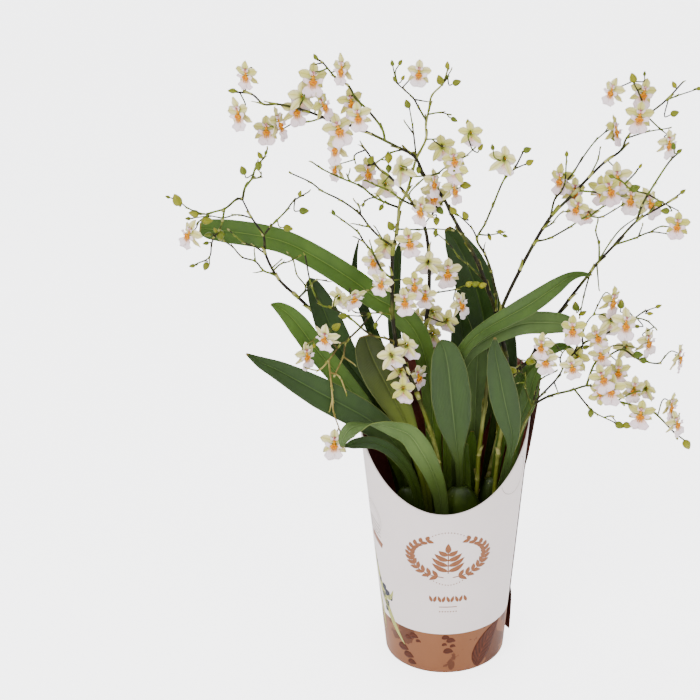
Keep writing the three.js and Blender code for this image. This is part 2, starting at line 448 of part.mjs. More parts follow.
// stem: [across, up, behind]. branches: [behind at the tip, radius, [across, up], ...].
// blooms: [across, up, behind, heading, nod, roll]. buds: [across, up, behind, angle, length].
const SPRAYS = {
  spray_left: {
    lean: -0.35,
    stem: [
      [-25, 0, 22], [-40, 190, 24], [-54.5, 236, 23], [-80, 270, 21], [-100, 293, 18], [-109.5, 303, 15],
      [-123, 317, 11], [-132.5, 337.7, 6], [-133.4, 352, 4], [-141.5, 366.4, 3], [-147.8, 380.8, 2],
    ],
    branches: [
      [
        2, 0.8, [-147.8, 380.8], [-144.9, 390], [-139.8, 396.3], [-137.4, 403], [-134, 408],
        [-130.2, 412.3], [-127.8, 418],
      ],
      [0, 0.6, [-139.3, 396.3], [-134.8, 397], [-133, 398.8], [-133.6, 401]],
      [
        0, 0.8, [-147.8, 380.8], [-150.9, 380.9], [-160.6, 373.3], [-171.5, 369.8],
        [-176.1, 366.3], [-181.3, 362.6],
      ],
      [
        -3, 0.7, [-160.6, 373.3], [-162.5, 366.3], [-165, 358], [-169.5, 351.7], [-172, 346],
        [-174.3, 335.3], [-184.7, 329.8],
      ],
      [-4, 0.6, [-174.3, 335.3], [-174.5, 332]],
      [
        6, 0.6, [-141.5, 365.5], [-148.9, 368.2], [-153.6, 368.4], [-163, 366], [-171, 367.5],
        [-186, 365.8],
      ],
      [-2, 0.6, [-171.5, 369.8], [-175.5, 369], [-188, 373.8], [-192.8, 378.3]],
      [3, 0.6, [-132.5, 337.7], [-140, 343.5], [-146.8, 346], [-153.2, 351], [-158, 356]],
      [
        -2, 0.7, [-123, 317], [-127, 321.5], [-134.5, 324.5], [-140.3, 332], [-149.9, 335.3],
        [-156.5, 343.3], [-162, 347.5],
      ],
      [0, 0.6, [-140.3, 332], [-140.8, 340]],
      [3, 0.6, [-134.5, 324.5], [-140.3, 323]],
      [
        1, 0.7, [-133.4, 352], [-128.4, 358.8], [-124.8, 362.6], [-116.2, 371.4], [-110.4, 379],
        [-104.8, 382.7], [-99.2, 386],
      ],
      [2, 0.6, [-127.3, 327], [-122, 332.5]],
      [3, 0.6, [-126, 325], [-121.5, 330], [-115, 332], [-108.5, 335.8]],
      [3, 0.6, [-109.5, 303], [-103.7, 311], [-110, 321.5], [-112, 332], [-115.7, 338.5]],
      [6, 0.6, [-109.5, 303], [-101.5, 310.5], [-96, 317], [-91, 317], [-86.5, 315.8]],
    ],
    blooms: [[-186.6, 356.5, -3, -25]],
    buds: [
      [-133.3, 414, 1, 120, 6], [-134.7, 405.6, 1, 90, 7.5], [-146, 402.5, 1, 110, 7.3],
      [-129, 415.5, 2, 70, 4],
      [-105.3, 385, 1, 70, 5], [-102.8, 371.5, 0, 0, 7.7], [-115, 358, 0, -10, 7.7],
      [-174.1, 364.1, 0, 180, 8.5],
      [-183.8, 369.5, -1, 170, 8], [-188.3, 365.6, 5, 180, 4.5], [-195.3, 380, -2, 110, 10],
      [-202, 382.3, -2, 160, 4],
      [-165.3, 352.3, 0, 270, 9], [-168.5, 356.4, -1, 120, 5], [-174.3, 353, -2, 190, 6],
      [-176.3, 346.3, -2, 190, 5],
      [-187.6, 328.4, -3, 190, 5], [-177.4, 328, -4, 250, 7],
    ],
  },
  spray_centre: {
    lean: 0.2,
    stem: [
      [-6, 0, -14], [-4, 125, -14], [-3.6, 145, -14], [-4.5, 162.5, -14], [-9.7, 187.5, -14],
      [-19.2, 217.7, -14],
      [-27.8, 241, -14], [-34.9, 257.7, -12], [-38.7, 284, -10], [-39.2, 307, -8], [-39, 320, -6],
      [-38.7, 336.4, -3], [-35.5, 353, 1], [-33.9, 364.4, 3], [-33.2, 373.9, 5], [-27.6, 385.7, 7],
      [-24.2, 397, 8], [-20.5, 411, 8], [-13.4, 426, 8], [-13.3, 436, 8], [-11.2, 447.5, 8], [-9, 458, 8],
      [-1.4, 466.5, 8], [2.1, 476, 8],
    ],
    branches: [
      [5, 0.7, [-14.2, 439.7], [-18.3, 449], [-22.3, 456.3], [-28, 461.7], [-34.3, 467.5]],
      [4, 0.6, [-22, 455], [-12, 453.5]],
      [6, 0.6, [-20.5, 412], [-22.7, 434], [-25, 449]],
      [5, 0.6, [-22, 430], [-28, 438]],
      [6, 0.6, [-12, 443.9], [-3, 445.6], [2.7, 444.4]],
      [6, 0.6, [-13.4, 426], [-7.8, 426]],
      [7, 0.6, [-1.4, 466.5], [4.5, 476]],
      [
        0, 0.8, [-33.8, 374], [-41, 377], [-51, 382], [-60.3, 390], [-75.5, 396.9], [-88.8, 403.7],
        [-95.7, 408.7],
      ],
      [2, 0.6, [-51, 382], [-56, 380.5], [-59.5, 377]],
      [0, 0.6, [-68.5, 392.5], [-70, 397], [-68.8, 401.5]],
      [3, 0.6, [-44, 380.5], [-49.5, 384]],
      [
        4, 0.8, [-38.3, 343.5], [-46.5, 350], [-54.8, 358.8], [-62, 369], [-75.3, 379.5],
        [-89.4, 387], [-97, 393.2], [-110.7, 400],
      ],
      [0, 0.6, [-54.8, 358.5], [-60.3, 360], [-66.7, 361.6]],
      [0, 0.6, [-61.3, 369.5], [-62.3, 374.5], [-65.5, 379]],
      [0, 0.6, [-44.5, 350.5], [-50.5, 358.3]],
      [
        -4, 0.8, [-39, 318], [-46, 324.5], [-54, 340.2], [-59.5, 347.3], [-63.3, 354.4],
        [-73.3, 363.2], [-81.5, 369.5],
      ],
      [-4, 0.6, [-59.5, 347], [-65.5, 351]],
      [-5, 0.6, [-51, 338], [-55, 347]],
      [0, 0.6, [-34.6, 357], [-20.5, 357], [-8.5, 357.6], [5, 356.5]],
      [-8, 0.6, [-39, 318], [-45, 315], [-50.7, 310], [-56, 309]],
      [
        -16, 0.8, [-37, 267], [-44, 269.5], [-55.4, 272.5], [-71, 286], [-84.3, 294.5],
        [-92.2, 297], [-99, 311], [-103.3, 337],
      ],
      [-15, 0.6, [-39.2, 290], [-47, 290.4], [-67, 291], [-70.3, 294]],
      [-15, 0.6, [-55, 289], [-61.3, 288], [-71.7, 288.5]],
      [-24, 0.8, [-55, 289], [-62.3, 280], [-71.8, 270], [-75, 266], [-77, 255], [-83.6, 240]],
      [-26, 0.7, [-75, 266], [-78.6, 265], [-87.6, 252.3], [-96, 243.3], [-105.8, 245]],
      [-37, 0.7, [-87.6, 251], [-86.7, 229.5], [-86.2, 219], [-85.8, 208], [-81.5, 192.5]],
      [-32, 0.6, [-86.2, 219], [-88.3, 210]],
      [-22, 0.6, [-82.5, 261.8], [-86, 267], [-96.3, 277]],
      [-22, 0.6, [-94, 272.5], [-101.5, 266.5]],
      [-28, 0.6, [-87, 242], [-80.8, 238], [-75.6, 224]],
      [-22, 0.6, [-77, 255], [-69, 248.3]],
      [-18, 0.6, [-37.3, 267], [-44.5, 254.5], [-36, 241.5]],
      [-16, 0.6, [-47.5, 288.5], [-51.5, 283]],
    ],
    blooms: [
      [-17.8, 477, 5, 20], [-2, 422.3, 6, 165], [-53.5, 335, -8, -35], [-46, 317.5, -10, -10],
      [-43, 347, -5, 160],
      [-26.2, 351, -4, -8], [-23, 316.3, -9, 30], [-30, 303.5, -11, 15], [-29, 266, -15, 150],
      [-41, 257.5, -19, 200], [-33.5, 245, -18, 10], [-21, 241, -17, 25], [-32, 229.5, -18, 0, 0, 20],
      [-90, 273, -27, -40, 25], [-79.3, 305, -16, 160], [-68, 305.5, -16, 40, 30], [-105.5, 259, -24, 55],
      [-85.6, 184, -38, -10],
    ],
    buds: [
      [-35.2, 470, 5, 120, 5], [-36.8, 481.5, 5, 100, 5], [-31, 482, 5, 60, 5], [-29.2, 471, 5, 60, 4.5],
      [-26.4, 452, 5, 110, 7], [6.9, 440.3, 6, -30, 6], [-3.1, 469.5, 7, 110, 8], [2.1, 480, 8, 90, 6],
      [8.8, 467.5, 7, 20, 7], [-59.5, 376, 2, 250, 4], [-81.5, 370.5, -4, 110, 5],
      [-39.5, 360, -1, 120, 8],
      [-46.5, 374, 3, 240, 6], [-53, 310, -8, 190, 5], [-76.7, 288, -16, 180, 7],
      [-72.3, 295, -16, 90, 5],
      [-81.5, 279.3, -20, 220, 8], [-52, 280, -17, 260, 6], [-99, 263.5, -22, 270, 4],
    ],
  },
  spray_rear: {
    lean: 0.45,
    stem: [
      [-6, 0, 10], [-12, 200, 14], [-14.5, 277, 14], [-12, 300, 14], [-11.7, 338.7, 14],
      [-15.2, 360.7, 14],
      [-25.6, 381, 14], [-40.3, 398.3, 13], [-46.8, 403, 12], [-57, 418, 10], [-60, 421, 10],
    ],
    branches: [
      [3, 0.6, [-12, 305], [-5.7, 307], [8.4, 309.7], [15, 312.4], [28.6, 312]],
      [9, 0.6, [-57, 418], [-64.8, 414], [-64.7, 409.7]],
    ],
    blooms: [
      [-78, 407, 8, -50], [-56.5, 404.5, 9, 20], [-43.5, 394, 14, 170], [-12, 333, 13, 165],
      [2.3, 327, 11, 25],
      [-14, 307.5, 9, 0], [10.3, 300.5, 9, 45], [-9.5, 293, 17.5, 170], [2, 286, 13, 150],
      [-20, 288, 13, -45],
      [-9.3, 275, 17.5, 175],
    ],
    buds: [[18.8, 314, 4, 20, 6.5], [23.5, 314, 3, 20, 6.5], [28.6, 313, 3, 20, 6.5]],
  },
  spray_arch: {
    lean: -0.35,
    stem: [
      [24, 0, 14], [34, 150, 12], [42, 190, 11], [46, 225, 9], [47, 253, 9], [43, 272, 10],
      [38.5, 292, 10],
      [33, 308, 9], [27, 325, 9], [20, 341, 8], [13.5, 353, 7], [5, 369, 5], [0, 380, 4], [-5.5, 388, 3],
      [-14, 397.5, 1], [-20, 410.5, -2], [-24.3, 415, -3], [-31.8, 419, -4], [-52, 429.5, -6],
      [-64.5, 435, -8],
      [-81.3, 439.7, -10], [-96.6, 446, -13], [-118.7, 451.7, -16], [-128.5, 451.6, -17],
      [-137, 459, -18],
      [-148, 460.6, -19],
    ],
    branches: [
      [-14, 0.6, [-87.7, 441], [-96.6, 439], [-105, 439.3], [-119, 432.7], [-124, 435.8]],
      [
        -6, 0.8, [-41.9, 427], [-44.7, 433.5], [-54.5, 447], [-63, 456], [-68, 465], [-77, 471],
        [-86, 482], [-89, 484],
      ],
      [-6, 0.6, [-86, 482], [-91.6, 480.5]],
      [-6, 0.6, [-84, 477], [-89, 475]],
      [-9, 0.6, [-30, 418.5], [-38, 416], [-47, 410], [-51, 407]],
      [0, 0.6, [-13.7, 398.2], [-5.5, 400], [2.2, 406], [14.6, 412.7], [21, 418.6]],
      [-2, 0.6, [-13.7, 398], [-24.5, 398], [-30, 401]],
      [-1, 0.6, [-15, 397], [-18.6, 393], [-25.5, 385], [-25, 381]],
      [-1, 0.6, [-0.8, 379.5], [-9, 368.8], [-14.5, 361.8]],
      [
        -7, 0.8, [-9, 370.2], [-20.8, 375], [-32.2, 380.8], [-39.2, 386.4], [-50.5, 391.5],
        [-56.4, 394.5],
      ],
      [1, 0.6, [0.5, 381], [6, 386], [13, 391]],
      [
        2, 0.9, [38.5, 292], [38.7, 303.7], [34.8, 323.7], [29.9, 337.7], [24, 349.5],
        [29.7, 361.3], [35, 374.6], [43.9, 396.6], [50.3, 403.4], [57, 417],
      ],
      [0, 0.6, [50.3, 403.4], [59, 407.4]],
      [0, 0.6, [43.9, 397.5], [42, 403.7], [43.4, 409.9]],
      [0, 0.6, [24, 350], [20, 358.2], [9, 369.5]],
      [2, 0.6, [25.8, 353.4], [32, 352.7], [42.4, 354.5]],
      [2, 0.6, [30, 340], [29.5, 344.8]],
      [3, 0.6, [31.3, 316], [18, 329], [11.4, 334.5], [4, 345], [-5.5, 354]],
    ],
    blooms: [
      [-140, 476, -19, -35], [-147, 448.5, -20, -50], [-128, 436, -20, 0], [-120.5, 441, -17, 60],
      [-106.5, 450.5, -16, 40], [-93, 473.5, -8, 15], [-101, 459, -12, 190], [-88.5, 453.5, -11, 55],
      [-71.5, 480.5, -9, -40], [-67.5, 456.5, -9, 50], [-62, 446, -10, 5], [-77, 437, -13, -10],
      [-77.5, 423, -12, -50], [18.5, 432, 1, 150], [6.3, 413.5, 1, 10], [8, 405, 3, 170],
      [43.4, 413, 1, 165],
      [-31.7, 406, -5, 200], [-16.5, 375.5, -3, -50], [-7.5, 386.5, 2, 10], [-8.5, 396.3, 0, 60],
      [6, 391, 1, 60],
    ],
    buds: [
      [-90.9, 486, -6, 120, 5], [-40.5, 411.5, -8, 270, 8], [-40.5, 403.5, -8, 270, 6.5],
      [-53, 410.5, -9, 240, 7],
      [16.7, 438.5, 0, 90, 5], [26.2, 420, 0, 60, 6], [34.7, 420, 0, 100, 5], [59.8, 418, 1, 20, 6.5],
      [61.8, 408.6, 0, 30, 6.5], [35.5, 376.8, 2, 60, 4], [15.2, 368.3, 1, 120, 7], [6.3, 372, 1, 130, 7],
      [33.3, 350.5, 2, -70, 5], [41.2, 355.5, 2, 0, 5], [44.8, 352, 2, -20, 4.5], [-6, 363.5, 0, 270, 7],
      [-6.5, 355, 3, 260, 6], [-3.1, 371.5, -1, 130, 7], [6.3, 387.5, 2, 30, 7], [15.8, 391, 1, -5, 8],
      [-19, 402.6, -2, 90, 6], [-151, 461.5, -19, 180, 6],
    ],
  },
  spray_right: {
    lean: 0.3,
    stem: [
      [22, 0, -4], [26, 148, -6], [26.7, 170, -6], [30.5, 208, -4], [34.5, 245, -2], [39, 270, 0],
      [42.5, 292, 2],
      [56, 325, 2], [65.4, 344.8, 0], [71.8, 357, -2], [78.8, 368.2, -4], [92.2, 382.7, -6],
      [104, 396.3, -8],
      [115.7, 408.6, -10], [127.5, 418, -11], [130.8, 426.5, -12], [144.1, 442.6, -13],
      [157.7, 454.6, -14],
      [168.8, 467.7, -14],
    ],
    branches: [
      [-8, 0.7, [77.5, 367], [80.7, 380.8], [84.6, 385.8], [87.3, 392.5], [88, 406.8], [88.2, 413.5]],
      [-9, 0.7, [87.3, 392.5], [93.6, 401.2], [98.6, 410], [108, 424], [116, 431.8]],
      [-10, 0.6, [104.3, 397.5], [111, 411], [112, 418]],
      [-12, 0.7, [96, 386.5], [113, 385.2], [118.3, 382.3], [131, 383]],
      [
        -10, 0.7, [67.3, 347], [76.7, 350], [91.8, 358.8], [104.2, 367], [114, 366.6],
        [123.9, 372], [135, 380],
      ],
      [-7, 0.6, [106, 370], [113.9, 373.3], [127, 380]],
      [-5, 0.6, [71.8, 357], [78.4, 361.4], [85.5, 370], [93.3, 371.8]],
      [-14, 0.6, [157.7, 454.6], [164.6, 457.5], [178.3, 462.3]],
      [-12, 0.6, [130.8, 426.5], [145, 431.3], [160.3, 434]],
      [-12, 0.6, [145, 442], [153.8, 434.3], [161, 428.5]],
      [-13, 0.6, [145, 443], [138.6, 458.7], [132.6, 469.4]],
    ],
    blooms: [
      [120, 464, -15, -45], [142, 463, -14, -10], [139.5, 446, -16, 5], [121.5, 435.8, -14, 40],
      [161, 426, -14, 50], [84.3, 399, -10, -35], [94.5, 389.8, -10, 40], [105, 371, -9, 15, 40],
      [98, 376.5, -10.5, -15], [114, 391, -12, 0], [119, 391, -13, 10], [125.5, 400, -12, 0],
      [136.7, 384.4, -12, -15],
      [148.5, 381, -18, 40],
    ],
    buds: [
      [162.8, 466, -14, 120, 6], [164.5, 445, -13, 20, 7], [133.5, 471, -13, 110, 8],
      [141.5, 474, -13, 90, 4],
      [121, 427.5, -12, 110, 7], [181, 463, -14, 0, 5], [88.2, 415, -8, 90, 5],
    ],
  },
  spray_right_low: {
    lean: -0.5,
    stem: [
      [36, 0, -12], [42, 170, -6], [48, 215, -3], [52, 238, -2], [65.5, 253, -1], [73, 270, 1],
      [86, 290, 2], [93, 301, 0],
      [109, 324, -4], [112.9, 330, -5], [125.4, 344.7, -8], [140.7, 363.2, -10], [149.4, 369.5, -11],
      [163.2, 378, -12], [172.4, 385.2, -13],
    ],
    branches: [
      [-8, 0.8, [140.7, 363.5], [144.4, 375.6], [152.3, 391.4], [163.3, 410], [168.8, 415.5]],
      [-11, 0.6, [112.7, 331], [122.4, 347.2], [129.8, 357.5], [140.3, 366]],
      [-12, 0.7, [125.4, 344.7], [139.6, 350], [151.8, 355], [162.7, 354]],
      [-14, 0.6, [151.8, 355], [159.3, 359.5], [168.3, 358.6]],
      [-13, 0.6, [143, 352.4], [145.5, 360]],
      [-9, 0.6, [147.7, 385.2], [158.4, 378.5], [170, 372.3]],
      [-13, 0.6, [149.5, 370], [153.5, 376]],
      [-5, 0.6, [147, 385], [135, 388.6], [129, 394], [122, 397.6]],
      [-5, 0.6, [131, 392], [138.4, 400.6], [141.2, 405]],
      [-3, 0.6, [109, 323], [104.5, 305], [102, 288.5]],
      [-5, 0.6, [113.3, 330], [115.4, 310.3]],
      [-8, 0.7, [112.7, 334], [114, 346.2], [111.3, 356.3], [112.5, 363]],
    ],
    blooms: [[171.5, 363.5, -15, -5]],
    buds: [
      [165, 421, -8, 100, 6], [169.5, 417, -8, 40, 5], [139, 389, -6, 20, 8], [156, 377, -9, 20, 7],
      [161.5, 371.5, -11, 0, 7], [173.8, 386.4, -13, 40, 5], [114, 347, -9, 100, 4],
      [98.6, 296, -3, 100, 8],
      [104.4, 290.5, -3, 30, 6], [142, 406, -5, 60, 4], [121, 398, -5, 160, 5],
    ],
  },
  spray_low_right: {
    lean: 0,
    stem: [
      [43, 0, -19], [46, 130, -20], [49.5, 153, -21], [53.2, 169.6, -22], [61.9, 198, -21],
      [67.9, 213, -20],
    ],
    branches: [
      [-22, 0.7, [68, 216], [69.8, 222.5], [73.4, 235], [84.6, 242]],
      [-22, 0.8, [69.3, 214.5], [75.5, 223.3], [87, 237.5], [93.8, 251.6], [106, 265.4]],
      [-26, 0.9, [70, 213], [80, 221], [97, 226], [110, 230], [120, 227.2], [137, 215]],
      [-23, 0.6, [83.6, 233.6], [87, 225]],
      [
        -24, 0.8, [108.9, 230.3], [115.5, 250], [122.3, 253.5], [135, 260.4], [147, 252.7],
        [163.5, 249], [166.8, 253],
      ],
      [-28, 0.7, [99.6, 225.6], [110.5, 212.8], [116.3, 207], [133, 198]],
      [-28, 0.6, [123, 203.7], [128.7, 204], [132.6, 199.6]],
      [-24, 0.7, [66.2, 213], [62.5, 227], [61.5, 239], [57.5, 242]],
      [-24, 0.6, [62.4, 233], [56.8, 232.5]],
      [-22, 0.6, [88.2, 245], [88.2, 254], [96.6, 266.6]],
      [-22, 0.6, [99, 258], [102, 270], [100.8, 271.3]],
      [-22, 0.6, [106, 265.4], [104.8, 276], [111.7, 288.5], [119, 289.5]],
      [-22, 0.6, [111.7, 288.5], [114.3, 295]],
      [-22, 0.6, [126, 254], [126, 262.5], [135, 264], [145, 261.8]],
      [-22, 0.7, [106, 265.4], [125, 275], [143, 286], [152.2, 284.3], [159, 278.5]],
      [-22, 0.6, [143, 286], [149.5, 291.2], [160.8, 295.8]],
      [-22, 0.6, [143, 286], [138.3, 292.2]],
      [-28, 0.6, [132.5, 217], [140.5, 221.8], [148, 225.3]],
      [-28, 0.8, [137, 215], [150, 212], [161.5, 207.3], [178.5, 190], [186.5, 183.3]],
    ],
    blooms: [
      [97, 280.5, -24, -10], [114.2, 274, -26, 0], [74, 266.3, -24, -35], [77, 254.5, -26, 0],
      [118, 259, -26, 15],
      [96.8, 249, -26, 0], [119.6, 240, -27, 10], [101.5, 256, -20, 165], [126, 304, -22, 50],
      [136.5, 285.3, -26, 35], [125.5, 287, -20, 160], [153.5, 270.5, -24, 50], [178, 257.3, -24, 60],
      [133, 245.3, -27, 15], [137, 264, -21, 170], [129, 231, -28, -35], [145.5, 230.7, -28, 20],
      [119.8, 220.5, -29, -10, 0, 170], [152, 209.5, -30, 0], [174.3, 216.5, -27, 35],
      [179, 201, -27, 50],
      [155, 229, -23, 160],
    ],
    buds: [
      [65.7, 250.3, -23, 170, 8], [52, 243.4, -24, 140, 7.5], [107.6, 262.4, -22, 20, 6],
      [147.5, 256, -24, 0, 8],
      [151, 251.5, -23, -10, 7], [132.5, 298, -22, 90, 8], [154.8, 290, -22, 0, 5],
      [160.8, 296, -22, 20, 5],
      [145, 279.5, -23, 0, 5], [113, 206, -28, 270, 7], [136, 196, -28, -25, 8],
      [142, 196, -28, -10, 7.5],
      [189, 179, -28, -60, 9], [181, 185, -28, -70, 4],
    ],
  },
};

// ---- Pieces ------------------------------------------------------------------------------------

const LEAF_COLOURS = {
  leaf_arch: 0x4f7a31,
  leaf_dark_left: 0x2f4a20,
  leaf_olive: 0x5d5a22,
  leaf_front: 0x5f7a50,
  leaf_dark_tall: 0x2c4a1c,
  leaf_dark_middle: 0x2c4a1c,
  leaf_blue_middle: 0x3d5f4a,
  leaf_dark_right: 0x2f4f22,
  leaf_bright_right: 0x7f9c45,
};

const group = new THREE.Group();
function add(name, body, colour, roughness) {
  const material = new THREE.MeshStandardMaterial({ color: colour, roughness, metalness: 0 });
  const mesh = new THREE.Mesh(geometryOf(body.asOriginal().simplify(SLACK)), material);
  mesh.name = name;
  group.add(mesh);
}

// Each piece has its room, the same piece thicker by the fit, which is cut from what it stands in.
const bulbs = Object.entries(BULBS).map(([name, bulb]) => ({
  name,
  body: pseudobulb(bulb, 0),
  room: pseudobulb(bulb, FIT),
}));
const bulbRoom = wasm.Manifold.union(bulbs.map((bulb) => bulb.room));
const leaves = Object.entries(LEAVES).map(([name, stations]) => ({
  name,
  body: blade(stations, 0).subtract(bulbRoom),
  room: blade(stations, FIT),
}));
const sprays = Object.entries(SPRAYS).map(([name, plan]) => ({
  name,
  body: spray(plan),
  room: tube(stemPoints(plan), STEM_RADIUS + FIT, 5, stemSteps(plan.stem)),
}));
const holes = wasm.Manifold.union([...leaves, ...sprays].map((piece) => piece.room).concat(bulbRoom));

add("sleeve", sleeve(), 0xf0efed, 0.4);
add("pot", pot(), 0x2e2a28, 0.55);
add("bark", bark().subtract(holes), 0x4a3020, 0.9);
for (const { name, body } of bulbs) add(name, body, 0x6f8a45, 0.5);
for (const { name, body } of leaves) add(name, body, LEAF_COLOURS[name] ?? 0x5c7a3c, 0.45);
for (const { name, body } of sprays) add(name, body, 0xe9dfc9, 0.6);

export default group;
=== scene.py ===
# %% [markdown]
# # A potted orchid in a card sleeve
#
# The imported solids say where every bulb, leaf and spray of flowers stands. This lesson grows the fine
# shapes in the same places: folded leaves, branching stems with swollen nodes, buds, and open blooms
# with sepals, petals, a lip, a toothed crest and a column. The pot gets its bark, and the card sleeve
# its copper band and its printing.
#
# The solids could be shown as they are, but their plates and tubes are only stand-ins. So a new piece
# says which solid it replaces, and the solid stays where it is, unseen.

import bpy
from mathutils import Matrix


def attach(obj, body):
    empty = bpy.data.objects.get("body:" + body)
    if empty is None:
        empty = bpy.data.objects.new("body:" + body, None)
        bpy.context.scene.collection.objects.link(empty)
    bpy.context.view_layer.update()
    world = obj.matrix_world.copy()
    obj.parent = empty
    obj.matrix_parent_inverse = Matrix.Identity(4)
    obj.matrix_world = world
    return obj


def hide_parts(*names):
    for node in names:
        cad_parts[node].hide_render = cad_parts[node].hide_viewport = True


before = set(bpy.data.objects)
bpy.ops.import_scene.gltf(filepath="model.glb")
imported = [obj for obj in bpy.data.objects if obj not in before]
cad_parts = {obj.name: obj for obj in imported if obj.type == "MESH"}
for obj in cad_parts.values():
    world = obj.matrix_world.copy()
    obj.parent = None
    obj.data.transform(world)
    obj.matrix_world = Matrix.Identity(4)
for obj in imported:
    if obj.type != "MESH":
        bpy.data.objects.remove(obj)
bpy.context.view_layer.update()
print("solids loaded:", len(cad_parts))

# %% The tools of the lesson, and a millimetre in metres
import math
import random

import bmesh
import bpy
from mathutils import Matrix, Vector, noise

MM = 0.001

# %% [markdown]
# ## Shader maths
#
# Every finish here is a pattern of numbers: veins, freckles, fibres. Such a pattern could be linked by
# hand, node by node, but a long list of links hides what is worked out. A `Wire` holds one output of a
# shader node instead. Adding or multiplying wires adds Math nodes, so a pattern reads as plain
# arithmetic, and `1 - mask` works because the reflected forms are there too.


# %% A wire that can be added and multiplied
class Wire:
    def __init__(self, surface, socket):
        self.surface = surface
        self.socket = socket

    def maths(self, operation, *values):
        return self.surface.node("ShaderNodeMath", {"operation": operation}, dict(enumerate(values)))

    def __add__(self, other):
        return self.maths("ADD", self, other)

    def __sub__(self, other):
        return self.maths("SUBTRACT", self, other)

    def __rsub__(self, other):
        return self.maths("SUBTRACT", other, self)

    def __mul__(self, other):
        return self.maths("MULTIPLY", self, other)

    __radd__ = __add__
    __rmul__ = __mul__

    def sin(self):
        return self.maths("SINE", self)

    def abs(self):
        return self.maths("ABSOLUTE", self)

    def step(self, low, high):
        """0 at low, 1 at high, smooth between."""
        values = {"Value": self, "From Min": low, "From Max": high}
        return self.surface.node("ShaderNodeMapRange", {"interpolation_type": "SMOOTHSTEP"}, values)

    def axes(self):
        return [self.surface.node("ShaderNodeSeparateXYZ", {}, {0: self}, axis) for axis in "XYZ"]


# %% [markdown]
# ## Finishes
#
# A finish is one Principled shader whose sockets get numbers, colours or wires. All nodes come from one
# method, so settings are always made before values. A colour is written as on a paint chart, in six
# hexadecimal digits, and turned into the linear light that a shader works with.


# %% A material, and the one method that adds nodes to it
class Finish:
    def __init__(self, name):
        self.material = bpy.data.materials.new(name)
        self.material.use_nodes = True
        self.tree = self.material.node_tree
        self.shader = self.tree.nodes["Principled BSDF"]

    def node(self, kind, settings, values, output=0):
        """Adds a node, gives it its settings, then its values or links, and returns an output."""
        node = self.tree.nodes.new(kind)
        for name, value in settings.items():
            setattr(node, name, value)
        for name, value in values.items():
            self.give(node.inputs[name], value)
        return Wire(self, node.outputs[output])

    def give(self, slot, value):
        if isinstance(value, Wire):
            self.tree.links.new(value.socket, slot)
        else:
            slot.default_value = value

    def set(self, **values):
        """Fills sockets of the shader, named with underscores for spaces, and returns the material."""
        for name, value in values.items():
            self.give(self.shader.inputs[name.replace("_", " ")], value)
        return self.material


# %% The patterns that this plant needs
class Surface(Finish):
    def place(self):
        return self.node("ShaderNodeTexCoord", {}, {}, "Object")

    def across_along(self):
        """The two numbers of the UV map: 0 to 1 from side to side, and 0 to 1 from foot to tip."""
        return self.node("ShaderNodeTexCoord", {}, {}, "UV").axes()[:2]

    def attribute(self, name):
        return self.node("ShaderNodeAttribute", {"attribute_name": name}, {}, "Fac")

    def noise(self, scale, detail=4.0, stretch=(1, 1, 1)):
        where = self.node("ShaderNodeMapping", {}, {"Vector": self.place(), "Scale": stretch})
        values = {"Vector": where, "Scale": scale, "Detail": detail}
        return self.node("ShaderNodeTexNoise", {}, values)

    def cells(self, scale):
        values = {"Vector": self.place(), "Scale": scale}
        return self.node("ShaderNodeTexVoronoi", {}, values, "Distance")

    def mix(self, share, first, second):
        return self.node("ShaderNodeMix", {"data_type": "RGBA"}, {0: share, 6: first, 7: second}, 2)

    def bump(self, height, depth):
        return self.node("ShaderNodeBump", {}, {"Height": height, "Distance": depth})


# %% Colours, and stripes that run from 0 to 1
def rgb(hexadecimal):
    """A colour written as in a paint chart, as linear light."""
    parts = [(hexadecimal >> shift & 255) / 255 for shift in (16, 8, 0)]
    return tuple(p / 12.92 if p < 0.04045 else ((p + 0.055) / 1.055) ** 2.4 for p in parts) + (1.0,)


def stripes(phase):
    return phase.sin() * 0.5 + 0.5


def from_middle(across):
    """0 along the middle of a blade and 1 along both edges."""
    return (across - 0.5).abs() * 2


print("mid grey in linear light:", [round(part, 3) for part in rgb(0x808080)[:3]])

# %% [markdown]
# ## Points in space
#
# The plant was measured as it is seen, so a plant point is `(across, up, behind)` in millimetres:
# where the sight line from the eye to the point meets the upright plane through the pot's axis, and
# how far the point lies behind that plane. Plain x, y and z would do as well, but then every change of
# depth would also move the point in the view.

# %% The eye, and the height at which feet stand in the bark
EYE_BACK = 1141.9
EYE_UP = 768.4
ROOT_HEIGHT = 88


def seen(across, up, behind):
    share = (behind + EYE_BACK) / EYE_BACK
    return Vector((across * share, behind, EYE_UP + (up - EYE_UP) * share)) * MM


def spot(across, up, behind):
    """As seen, but an up of 0 is a foot that stands in the bark."""
    foot = EYE_UP - (EYE_UP - ROOT_HEIGHT) / (1 + behind / EYE_BACK)
    return seen(across, up or foot, behind)


print("a foot in the bark stands at", round(spot(0, 0, 20).z / MM, 1), "mm")

# %% [markdown]
# ## Smooth lines
#
# Leaves, stems and printed marks all follow a few given points. Straight pieces between them would
# show corners, and a plain Catmull-Rom curve overshoots where points lie close together. The
# centripetal kind, which takes the square root of each distance into account, stays tight.


